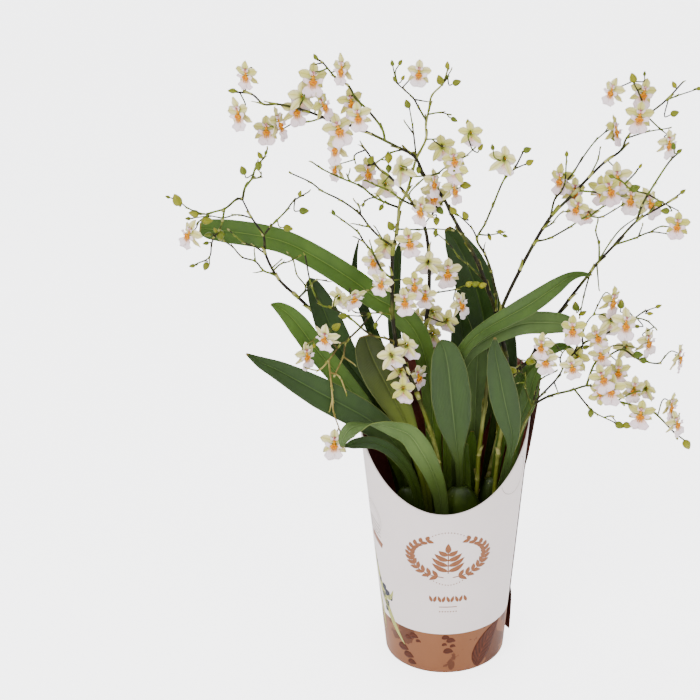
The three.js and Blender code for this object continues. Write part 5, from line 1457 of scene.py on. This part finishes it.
def grow_blooms(spray):
    bm = bmesh.new()
    tone = bm.verts.layers.float.new("tone")
    for across, up, behind, heading, *turns in spray.plan["blooms"]:
        nod, roll = (turns + [0, 0])[:2]
        behind = spray.leant(up, behind) + spray.draw.uniform(-DEPTH_CHANCE, DEPTH_CHANCE)
        head = seen(across, up, max(FARTHEST_FORWARD, min(FARTHEST_BACK, behind)))
        turned = turned_by(spray.draw, heading, nod, roll)
        size = spray.draw.uniform(0.94, 1.15)
        before = len(bm.verts)
        bm.from_mesh(spray.draw.choice(BLOOMS))
        shade = spray.draw.random()
        for vert in new_points(bm, before):
            vert.co = head + turned @ (vert.co * size)
            vert[tone] = shade
        grow_stalk(spray, head, nearest(spray.beads, across, up, behind), turned @ Vector((0, 1, 0)))
    mesh_piece(spray.name + "_blooms", bm, BLOOM_SURFACES, "bloom")


# %% One bud
def egg(head, ahead, length):
    """A function for a grid: an egg of the given length round its head, with three seams."""
    aside = Vector((-ahead.z, 0, ahead.x))
    upright = Vector((0, 1, 0))
    wide = length * (0.66 if length > 6 else 0.56)

    def place(x, share):
        belly = max(0.0, math.sin(math.pi * share**0.8)) ** 0.7 * (1 - 0.25 * share)
        ring = wide * 0.6 * belly * (1 + 0.06 * math.cos(3 * math.pi * x))
        around = aside * math.cos(math.pi * x) + upright * math.sin(math.pi * x)
        return head + (ahead * ((share - 0.5) * length) + around * ring) * MM

    return place


# %% The buds
def grow_buds(spray):
    bm = bmesh.new()
    tone = bm.verts.layers.float.new("tone")
    for across, up, behind, angle, length in spray.plan["buds"]:
        behind = spray.leant(up, behind)
        head = seen(across, up, behind)
        joint = nearest(spray.beads, across, up, behind)
        ahead = Vector((math.cos(math.radians(angle)), 0, math.sin(math.radians(angle))))
        if (joint - head).dot(ahead) > 0:
            ahead.negate()
        shade = spray.draw.random()
        before = len(bm.verts)
        sheet_grid(bm, 12, 10, egg(head, ahead, length))
        for vert in new_points(bm, before):
            vert[tone] = shade
        grow_stalk(spray, head - ahead * (0.45 * length * MM), joint, -ahead)
    merge_doubles(bm)
    mesh_piece(spray.name + "_buds", bm, [BUD], "bloom")


# %% All seven sprays
STEM_LOOKS = {"spray_centre": STEM_BANDED, "spray_low_right": STEM_GREEN}
TWIG_LOOKS = {"spray_centre": DRY_TWIG}
BRACT_THICKNESS = 0.00015

for name, plan in SPRAYS.items():
    grown = Spray(name, plan)
    grow_stems(grown)
    grow_blooms(grown)
    grow_buds(grown)
    new_piece(name + "_stem", grown.stem, [STEM_LOOKS.get(name, STEM_DARK)], "bloom", name)
    new_piece(name + "_twigs", grown.twigs, [TWIG_LOOKS.get(name, TWIG)], "bloom")
    thicken(mesh_piece(name + "_bracts", grown.bracts, [BRACT], "bloom"), BRACT_THICKNESS)
    print(name, "has", len(plan["blooms"]), "blooms and", len(plan["buds"]), "buds")

# %% [markdown]
# ## Bark
#
# The plant stands in chips of bark that fill the pot to a rough mound. A displaced surface alone looks
# like soil, and a scatter of chips alone shows the pot's floor between them. So both are made: a
# closed mound from a grid wrapped round, with a skirt extruded from its rim, and on it chips that are
# bevelled cubes, squeezed and turned by a seeded draw. Each chip has its own tone.


# %% Brown bark with a grain
def bark_surface():
    s = Surface("bark_chips")
    grain = s.noise(90, 7, (1, 0.4, 2.2))
    colour = s.mix(grain.step(0.35, 0.7), rgb(0x1E140D), rgb(0x5C4029))
    colour = s.mix(s.attribute("tone") * grain, colour, rgb(0x93704C))
    return s.set(Base_Color=colour, Roughness=grain * 0.2 + 0.7, Normal=s.bump(grain, 0.0015))


# %% The closed mound, in millimetres above the table
BARK_RADIUS = 48.6
MOUND_TOP = 90.5
MOUND_FOOT = 80


def on_circle(angle, radius, height):
    return Vector((math.cos(angle) * radius, math.sin(angle) * radius, height))


def mound(bm):
    def place(x, share):
        point = on_circle((x + 1) * math.pi, BARK_RADIUS * share, 0)
        point.z = MOUND_TOP + 2.2 * noise.noise(point * 0.14)
        return point * MM

    sheet_grid(bm, 60, 20, place)
    merge_doubles(bm)
    skirt = bmesh.ops.extrude_edge_only(bm, edges=[edge for edge in bm.edges if edge.is_boundary])
    for part in skirt["geom"]:
        if isinstance(part, bmesh.types.BMVert):
            part.co = Vector((0.96 * part.co.x, 0.96 * part.co.y, MOUND_FOOT * MM))
    bmesh.ops.holes_fill(bm, edges=bm.edges, sides=0)
    bmesh.ops.recalc_face_normals(bm, faces=bm.faces)


# %% One chip: a cube that is squeezed, bevelled, turned and put down
CHIP_BEVEL = 0.45
CHIP_UP = 91.5


def chip(bm, draw, tone):
    centre = on_circle(draw.uniform(0, 2 * math.pi), (BARK_RADIUS - 6) * math.sqrt(draw.random()), 0)
    size = (draw.uniform(4, 10), draw.uniform(3, 6), draw.uniform(1.5, 3.2))
    turn = (
        Matrix.Rotation(draw.uniform(0, 2 * math.pi), 3, "Z")
        @ Matrix.Rotation(draw.uniform(-0.45, 0.45), 3, "X")
        @ Matrix.Rotation(draw.uniform(-0.3, 0.3), 3, "Y")
    )
    centre.z = CHIP_UP + draw.uniform(0, 2.2)
    cube = bmesh.ops.create_cube(bm, size=1)["verts"]
    edges = list({edge for vert in cube for edge in vert.link_edges})
    for vert in cube:
        vert.co.x *= size[0] * draw.uniform(0.7, 1.1)
        vert.co.y *= size[1] * draw.uniform(0.6, 1.1)
        vert.co.z *= size[2]
    made = bmesh.ops.bevel(
        bm, geom=edges, offset=CHIP_BEVEL, segments=1, affect="EDGES", profile=0.5, material=-1
    )["verts"]
    shade = draw.random()
    for vert in set(made) | {vert for vert in cube if vert.is_valid}:
        vert.co = (centre + turn @ vert.co) * MM
        vert[tone] = shade


# %% The bark as one piece
CHIPS = 420
bark_draw = random.Random(7)
bark_bm = bmesh.new()
bark_tone = bark_bm.verts.layers.float.new("tone")
mound(bark_bm)
for _ in range(CHIPS):
    chip(bark_bm, bark_draw, bark_tone)
mesh_piece("bark_chips_mound", bark_bm, [bark_surface()], "bark", "bark")

# %% [markdown]
# ## Pot
#
# The thin plastic nursery pot is hidden in the sleeve except for its lip, and its solid has the right
# shape already. So it keeps its mesh and only gets a finish: dark plastic with a little dust.


# %% Dark plastic on the solid itself
def pot_surface():
    s = Surface("pot_plastic_dark")
    grain = s.noise(700, 3)
    dust = s.noise(40, 5)
    colour = s.mix(dust.step(0.5, 0.75) * 0.5, rgb(0x17181A), rgb(0x3A352E))
    roughness = grain * 0.15 + dust * 0.2 + 0.3
    return s.set(Base_Color=colour, Roughness=roughness, Normal=s.bump(grain, 0.0002))


pot_material = pot_surface()
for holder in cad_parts["pot"].material_slots:
    holder.material = pot_material
print("the pot's finish:", pot_material.name)

# %% [markdown]
# ## Finishes of the card
#
# The sleeve is printed card: matt white outside with a cloud of tone, copper at the foot with dark
# blots, and dark red-brown inside. A picture of paper would tile and show its seams, so faint fibres
# come from a fine noise. The copper is ink, not metal, so it is only a little metallic.


# %% White card
def card_fibre(s):
    return s.noise(900, 4)


def white_card():
    s = Surface("white_card")
    fibre = card_fibre(s)
    colour = s.mix(s.noise(22, 3).step(0.4, 0.7) * 0.35, rgb(0xD6CAC7), rgb(0xCEC1BE))
    colour = s.mix(fibre.step(0.5, 0.75) * 0.1, colour, rgb(0xC0B4B0))
    foot_edge = s.place().axes()[2].step(0.003, 0.0)
    colour = s.mix(foot_edge * 0.3, colour, rgb(0xB79F8F))
    return s.set(Base_Color=colour, Roughness=fibre * 0.12 + 0.52, Normal=s.bump(fibre, 0.00008))


# %% Copper print and brown inside
def copper_band():
    s = Surface("copper_print")
    fibre = card_fibre(s)
    cloud = s.noise(16, 3)
    blots = s.noise(36, 5, (1, 1, 0.8)).step(0.585, 0.6)
    colour = s.mix(cloud.step(0.35, 0.7) * 0.4, rgb(0x784C30), rgb(0x6C4228))
    colour = s.mix(blots * 0.8, colour, rgb(0x45200F))
    colour = s.mix(fibre.step(0.5, 0.8) * 0.12, colour, rgb(0x905828))
    return s.set(
        Base_Color=colour,
        Roughness=fibre * 0.14 + cloud * 0.1 + 0.36,
        Metallic=0.12,
        Normal=s.bump(fibre, 0.00008),
        Specular_IOR_Level=0.2,
    )


def inner_card():
    s = Surface("inner_card_brown")
    fibre = s.noise(700, 4)
    colour = s.mix(s.noise(30, 4).step(0.4, 0.7), rgb(0x552013), rgb(0x78341F))
    return s.set(Base_Color=colour, Roughness=fibre * 0.2 + 0.5, Normal=s.bump(fibre, 0.0001))


# %% [markdown]
# ## Card sleeve
#
# The sleeve is one flared cone of card, cut low at the front and high at the back. It could be a cone
# cut by a tilted plane, but its rim is level at the back. So a grid is wrapped round the cone, its
# rows spaced evenly between the top of the copper band and the rim, and the edge of the band is an
# edge of the mesh. The seam is merged, and only then does the card get its thickness, inward.

# %% The cone and its rim, in millimetres
SLEEVE_BASE_RADIUS = 48.2
SLEEVE_FLARE = 0.088
SLEEVE_FRONT = 151
SLEEVE_SWEEP = 60
SLEEVE_BACK = 237
BAND_TOP = 38.3


def sleeve_rim(angle):
    return min(SLEEVE_BACK, SLEEVE_FRONT + SLEEVE_SWEEP * (1 - math.cos(angle)))


def on_sleeve(angle, height, proud=0.0):
    """A point on the card at an angle from the front, standing out from its face by proud."""
    radius = SLEEVE_BASE_RADIUS + SLEEVE_FLARE * height + proud
    return Vector((math.sin(angle) * radius, -math.cos(angle) * radius, height)) * MM


print("the rim is at", sleeve_rim(0), "mm in front and", round(sleeve_rim(math.pi)), "mm behind")


# %% The rows of the wall, and which side of the card a face is on
CARD = 1.0
ROWS = 64
BAND_ROWS = 16
WHITE, BAND, INSIDE, EDGE = range(4)


def sleeve_point(x, share):
    angle = x * math.pi
    row = share * ROWS
    height = BAND_TOP * row / BAND_ROWS
    if row > BAND_ROWS:
        height = mix(BAND_TOP, sleeve_rim(angle), (row - BAND_ROWS) / (ROWS - BAND_ROWS))
    return on_sleeve(angle, height)


def side_of(face):
    """Outside faces keep their material; the others are inside, or on a cut edge."""
    centre = face.calc_center_median()
    outward = face.normal.dot(Vector((centre.x, centre.y, 0)).normalized())
    if outward >= 0.5:
        return face.material_index
    return INSIDE if outward < -0.5 else EDGE


# %% The sleeve as one piece
def sleeve():
    bm = bmesh.new()
    for face in sheet_grid(bm, 160, ROWS, sleeve_point, WHITE):
        if face.calc_center_median().z < BAND_TOP * MM:
            face.material_index = BAND
    merge_doubles(bm)
    bmesh.ops.recalc_face_normals(bm, faces=bm.faces)
    bmesh.ops.solidify(bm, geom=bm.faces[:], thickness=CARD * MM)
    for face in bm.faces:
        face.material_index = side_of(face)
    foot = [vert.co.to_2d().length / MM for vert in bm.verts if vert.co.z < 0.1 * MM]
    print("the sleeve's foot reaches from", round(min(foot), 2), "to", round(max(foot), 2), "mm")
    looks = [white_card(), copper_band(), inner_card(), white_card()]
    mesh_piece("sleeve_card", bm, looks, "card", "sleeve")


sleeve()

# %% [markdown]
# ## Printing on the card
#
# The printing is a skin of ink in copper, grey and leaf colours. It could be painted as a picture on
# the card's UV map, but a picture blurs close up. So each mark is a thin patch of mesh laid on the
# cone along a path, and given a wall of a few hundredths of a millimetre to close it. A mark's width
# may swell like a leaf or stay even like a line.

# %% A patch of ink along a path
INK = 0.07
PRINT_RADIUS = 55


def printed(bm, path, width, columns=6, rows=12, material=0):
    """A patch of ink along a path of (angle, height) on the card, with its width along the way."""
    dots = [Vector((angle * PRINT_RADIUS, height, 0)) for angle, height in path]

    def place(x, share):
        dot = curve_point(dots, share)
        ahead = curve_way(dots, share)
        side = Vector((ahead.y, -ahead.x, 0)).normalized() * (x * width(share) / 2)
        return on_sleeve((dot.x + side.x) / PRINT_RADIUS, dot.y + side.y, INK)

    sheet_grid(bm, columns, rows, place, material)


def leaf_width(most):
    return lambda share: most * max(0.02, math.sin(math.pi * share**0.8)) ** 0.8


def line_width(most):
    return lambda share: most


# %% Small leaves, dots and lines, and laying a finished print on the sleeve
INK_THICKNESS = 0.00004


def small_leaf(bm, path, most, material=0):
    printed(bm, path, leaf_width(most), 4, 8, material)


def dot(bm, angle, height, half, most):
    printed(bm, [(angle - half, height), (angle, height), (angle + half, height)], leaf_width(most), 2, 6)


def line(bm, path, most, rows):
    printed(bm, path, line_width(most), 1, rows)


def lay_print(name, bm, inks):
    thicken(mesh_piece(name, bm, inks, "card"), INK_THICKNESS)


# %% [markdown]
# ## Inks
#
# Copper ink shines a little like metal, grey ink doesn't, and printed leaves have their own drawn
# veins, slanting from a midrib. All three could be flat colours, but a little fibre of the card shows
# through real ink.


# %% Copper, grey and leaf inks
def copper_ink():
    s = Surface("copper_ink")
    fibre = card_fibre(s)
    colour = s.mix(fibre.step(0.35, 0.7), rgb(0x74401C), rgb(0x804C26))
    return s.set(Base_Color=colour, Roughness=fibre * 0.15 + 0.38, Metallic=0.25)


def grey_ink():
    s = Surface("grey_ink")
    fibre = card_fibre(s)
    colour = s.mix(fibre.step(0.4, 0.65), rgb(0x85786F), rgb(0xA2968F))
    return s.set(Base_Color=colour, Roughness=fibre * 0.15 + 0.45)


def leaf_ink(name, light, dark):
    s = Surface(name)
    across, along = s.across_along()
    side = from_middle(across)
    veins = stripes((along * 9 - side * 2.2) * 6.28)
    colour = s.mix(veins * 0.5 + side.step(0.12, 0) * 0.5, rgb(dark), rgb(light))
    colour = s.mix(s.noise(500).step(0.45, 0.7) * 0.25, colour, rgb(light))
    return s.set(Base_Color=colour, Roughness=s.noise(900) * 0.12 + 0.5, Specular_IOR_Level=0.15)


COPPER_INK = copper_ink()

# %% [markdown]
# ## Wreath, rule and dots
#
# The front carries one copper motif: two leafy twigs in a wreath round a growing shoot, arcs of dots
# above and below, and under it a row of leaves, a rule and more dots. It is plain and belongs to
# nobody. Lettering isn't needed for a sleeve to look printed. Mirrored twigs could come from a mirror
# operator, but here each is drawn with its own sign, because the cone is curved.

# %% Where the wreath is: its angle from the front, its height, and its half width and half height
CENTRE = 0.05
WREATH_UP = 111
WREATH_HALF_ANGLE = 0.52
WREATH_HALF_HEIGHT = 18
TWIG_BENDS = (0.12, 0.6, 1.1, 1.6, 2.1, 2.7)
TWIG_LEAVES = 12


def on_wreath(side, t):
    return CENTRE + side * WREATH_HALF_ANGLE * math.sin(t), WREATH_UP - WREATH_HALF_HEIGHT * math.cos(t)


def wreath_twig(bm, side):
    """Half of the wreath, on the side given by 1 or -1, with a pair of leaves at each step."""
    line(bm, [on_wreath(side, t) for t in TWIG_BENDS], 0.8, 40)
    for i in range(TWIG_LEAVES):
        t = 0.28 + i * 0.21
        foot = on_wreath(side, t)
        for out in (1, -1):
            lean = t + out * 0.75
            reach = 7.4 - 0.22 * i
            tip = (foot[0] + side * reach * math.cos(lean) / PRINT_RADIUS, foot[1] + reach * math.sin(lean))
            middle = (mix(foot[0], tip[0], 0.5) + side * 0.006, mix(foot[1], tip[1], 0.5) + 0.4)
            small_leaf(bm, [foot, middle, tip], 3.3)


# %% The shoot in the wreath
# height of each pair of leaves, and how far the pair reaches
SHOOT_LEAVES = ((99, 12), (104, 12), (109, 10), (114, 7))


def shoot(bm):
    line(bm, [(CENTRE, height) for height in (97, 104, 111, 118)], 0.8, 8)
    for side in (1, -1):
        for height, reach in SHOOT_LEAVES:
            middle = (CENTRE + side * reach * 0.55 / PRINT_RADIUS, height + reach * 0.22)
            tip = (CENTRE + side * reach / PRINT_RADIUS, height + reach * 0.62)
            small_leaf(bm, [(CENTRE, height), middle, tip], 4.2)
    small_leaf(bm, [(CENTRE, height) for height in (116, 120, 125)], 4.4)


# %% The row of leaves, the rule and the dots
def row_and_dots(bm):
    for i in range(9):
        angle = CENTRE + (i - 4) * 0.062
        slant = 0.018 if i % 2 else -0.018
        small_leaf(bm, [(angle - slant, 69.5), (angle, 72.5), (angle + slant, 75.5)], 2.6)
    line(bm, [(CENTRE + aside, 65) for aside in (-0.13, 0, 0.13)], 0.7, 20)
    for i in range(7):
        dot(bm, CENTRE + (i - 3) * 0.04, 60.5, 0.01, 1.4)
    for i in range(15):
        swing = (i - 7) * 0.04
        for height in (135 - 90 * swing**2, 86 + 90 * swing**2):
            dot(bm, CENTRE + swing, height, 0.008, 1.2)


wreath_bm = bmesh.new()
for side in (1, -1):
    wreath_twig(wreath_bm, side)
shoot(wreath_bm)
row_and_dots(wreath_bm)
lay_print("sleeve_wreath", wreath_bm, [COPPER_INK])

# %% [markdown]
# ## Rings and small lines
#
# A large fine ring stands at the right, and a double ring with a few lines and a bar at the left, where
# such sleeves carry a badge. A torus would stand out like a wire, so a ring is a line printed round a
# circle. It starts at its top and leaves off what is past the rim, so one unbroken line is left.


# %% Rings, four lines and a bar
RING_RADIUS = 57


def ring(bm, angle, height, radius, thick):
    steps = [math.pi * (0.5 + i / 24) for i in range(49)]
    path = [(angle + radius * math.cos(t) / RING_RADIUS, height + radius * math.sin(t)) for t in steps]
    path = [at for at in path if at[1] < sleeve_rim(at[0]) - 1.5]
    line(bm, path, thick, 96)


RINGS = ((1.02, 170, 15, 0.45), (-1.22, 128, 14, 0.35), (-1.22, 128, 11.5, 0.25))
LINE_HEIGHTS = (116, 119.5, 123, 126.5)

rings_bm = bmesh.new()
for numbers in RINGS:
    ring(rings_bm, *numbers)
for height in LINE_HEIGHTS:
    line(rings_bm, [(-1.36, height + 1.5), (-1.2, height), (-1.02, height - 2.5)], 0.9, 16)
printed(rings_bm, [(-1.3, 112), (-1.16, 109.5), (-1.0, 106)], line_width(5.5), 4, 12, 1)
lay_print("sleeve_rings", rings_bm, [grey_ink(), COPPER_INK])

# %% [markdown]
# ## Printed leaves
#
# Long pale strap leaves rise at the left of the front, with small slate marks between them, and a
# broad brown leaf and scattered small ones lie on the copper band. They are only inked shapes, so
# they need no relief. A list of places and sizes draws each group in one loop.

# %% Strap leaves and slate marks at the left
# path of (angle, height), and the most width
STRAPS = (
    ([(-1.36, 96), (-1.22, 70), (-1.02, 48), (-0.84, 32), (-0.68, 20)], 6.6),
    ([(-1.06, 58), (-0.98, 58), (-0.9, 62), (-0.84, 69)], 3.8),
    ([(-1.36, 60), (-1.24, 40), (-1.2, 22)], 5.0),
)
# angle, height, size
SLATE_MARKS = (
    (-1.08, 66, 7), (-1.0, 62, 8), (-0.92, 60, 6), (-1.12, 58, 6), (-1.03, 52, 7), (-1.06, 46, 5),
    (-1.2, 70, 5), (-1.3, 84, 5),
)

strap_bm = bmesh.new()
for path, width in STRAPS:
    printed(strap_bm, path, leaf_width(width), 4, 24, 0)
for angle, height, size in SLATE_MARKS:
    aside, lift = size / 130, size / 3
    path = [(angle - aside, height - lift), (angle, height), (angle + aside, height + lift)]
    small_leaf(strap_bm, path, size, 1)
strap_inks = [
    leaf_ink("pale_leaf_ink", 0xBCB878, 0x84883E),
    leaf_ink("slate_leaf_ink", 0x44444E, 0x22222C),
]
lay_print("sleeve_strap_leaves", strap_bm, strap_inks)

# %% Brown leaves on the copper band
# angle, height, size
BAND_MARKS = (
    (0.02, 34.5, 7), (0.1, 31.5, 8), (0.0, 27.5, 4.5), (0.13, 26, 5), (0.06, 21, 9), (-0.5, 32, 9),
    (-0.6, 29, 7), (-0.42, 28, 5), (-0.72, 17, 12), (-0.62, 11, 11), (-0.56, 5, 9),
)

band_bm = bmesh.new()
printed(band_bm, [(0.56, 1.2), (0.62, 14), (0.78, 28), (0.99, 38.5)], leaf_width(19), 8, 24)
for angle, height, size in BAND_MARKS:
    aside = size / 110
    path = [(angle - aside, height - 0.8), (angle, height + 0.8), (angle + aside, height - 0.4)]
    small_leaf(band_bm, path, size * 0.62)
lay_print("sleeve_band_leaves", band_bm, [leaf_ink("brown_leaf_ink", 0x5C2C16, 0x34150A)])

# %% [markdown]
# ## Back lap
#
# The card is joined behind the right-hand side. Its end is folded over, so a strip of its brown
# inside shows there. The strip lies flush at the back, and its free edge springs off the cone, most
# at the top and at the foot. It could be left in one with the sleeve, but a strip of its own,
# bent by a function, keeps the cone simple.


# %% A strip that springs off the cone
LAP_START = 1.62
LAP_WIDTH = 0.34
LAP_FOOT = 8
LAP_TOP = 226
LAP_THICKNESS = 0.0006


def lap_point(x, share):
    height = mix(LAP_FOOT, LAP_TOP, share)
    top_spring = 4.6 * max(0.0, (height - 160) / 66) ** 0.6
    foot_spring = 3.2 * max(0.0, (46 - height) / 38) ** 0.4
    free = ((1 - x) / 2) ** 2.5
    angle = LAP_START + LAP_WIDTH * (x + 1) / 2
    return on_sleeve(angle, height, 0.25 + (0.9 + top_spring + foot_spring) * free)


def lap_surface():
    s = Surface("lap_brown")
    fibre = s.noise(700, 4)
    colour = s.mix(s.noise(30).step(0.4, 0.7), rgb(0x2C130C), rgb(0x4C2015))
    colour = s.mix(fibre.step(0.5, 0.75) * 0.2, colour, rgb(0x6B3A28))
    return s.set(Base_Color=colour, Roughness=fibre * 0.2 + 0.55, Specular_IOR_Level=0.2)


lap_bm = bmesh.new()
sheet_grid(lap_bm, 16, 60, lap_point)
thicken(mesh_piece("sleeve_back_lap", lap_bm, [lap_surface()], "card"), LAP_THICKNESS)

# %% [markdown]
# ## Floor
#
# The floor of a studio curves up into a wall, so no edge of it shows. A flat plane
# ends in a horizon, so the floor here is a round grid that rises all round, and looks the same from
# every side. It glows, brightly to the camera and less so to the plant: the floor looks almost white,
# and the plant gets soft light from all sides that doesn't wash out its twigs.

# %% The curved floor, in metres
FLOOR_RADIUS = 3.0
WALL_OUT = 0.8
WALL_UP = 2.6
BEND_START = 0.625
GLOW = 3.4


def cove_point(x, share):
    bend = max(0.0, share - BEND_START) / (1 - BEND_START) * math.pi / 2
    out = FLOOR_RADIUS * min(1.0, share * 1.6) + WALL_OUT * math.sin(bend)
    return on_circle(x * math.pi, out, WALL_UP * (1 - math.cos(bend)))


def studio_surface():
    s = Surface("studio_white")
    white = s.mix(s.noise(2, 3), rgb(0xF4F4F5), rgb(0xF0F0F1))
    seen_straight = s.node("ShaderNodeLightPath", {}, {}, "Is Camera Ray")
    glow = s.mix(seen_straight, rgb(0x838383), white)
    return s.set(Base_Color=white, Roughness=0.9, Emission_Color=glow, Emission_Strength=GLOW)


cove_bm = bmesh.new()
sheet_grid(cove_bm, 96, 40, cove_point)
merge_doubles(cove_bm, 0.001)
cove_mesh = smooth_mesh("studio_cove", cove_bm)
cove_mesh.materials.append(studio_surface())
cove = bpy.data.objects.new("studio_cove", cove_mesh)
bpy.context.collection.objects.link(cove)
print("the floor reaches", FLOOR_RADIUS, "m out before it bends up")

# %% [markdown]
# ## Lights, sky and camera
#
# The light is soft and comes from the front left, with a weaker fill from the right and one from
# above. Small lamps would draw hard shadows of every twig on the card, so all three are large discs.
# The camera stands where the sight lines start, 24 degrees above the table.


# %% Something in the scene that looks at a target
def aim(name, data, place, target):
    aimed = bpy.data.objects.new(name, data)
    bpy.context.collection.objects.link(aimed)
    aimed.location = place
    aimed.rotation_euler = (Vector(target) - Vector(place)).to_track_quat("-Z", "Y").to_euler()
    return aimed


# %% Three soft lamps
# name, place, target, size in metres, power in watts
LAMPS = (
    ("key_light", (-0.9, -1.3, 1.6), (0, 0, 0.25), 1.1, 32),
    ("fill_light", (1.3, -1.0, 1.1), (0, 0, 0.25), 1.4, 8),
    ("top_light", (0, 0.5, 1.9), (0, 0, 0.2), 1.6, 13),
)
for name, place, target, size, power in LAMPS:
    light = bpy.data.lights.new(name, "AREA")
    light.shape = "DISK"
    light.size = size
    light.energy = power
    aim(name, light, place, target)
print("lamps:", [lamp[0] for lamp in LAMPS])

# %% A pale sky
world = bpy.data.worlds.new("studio_world")
world.use_nodes = True
backdrop = world.node_tree.nodes["Background"]
backdrop.inputs["Color"].default_value = (0.95, 0.96, 1, 1)
backdrop.inputs["Strength"].default_value = 0.85
bpy.context.scene.world = world
print("the sky's strength:", round(backdrop.inputs["Strength"].default_value, 2))

# %% The camera
view = bpy.data.cameras.new("studio_camera")
view.lens = 84.6
view.sensor_width = 36
view.shift_x = -0.135
bpy.context.scene.camera = aim("studio_camera", view, (0, -EYE_BACK * MM, EYE_UP * MM), (0, 0, 0.26))
print("the camera's angle of view:", round(math.degrees(view.angle), 1), "degrees")
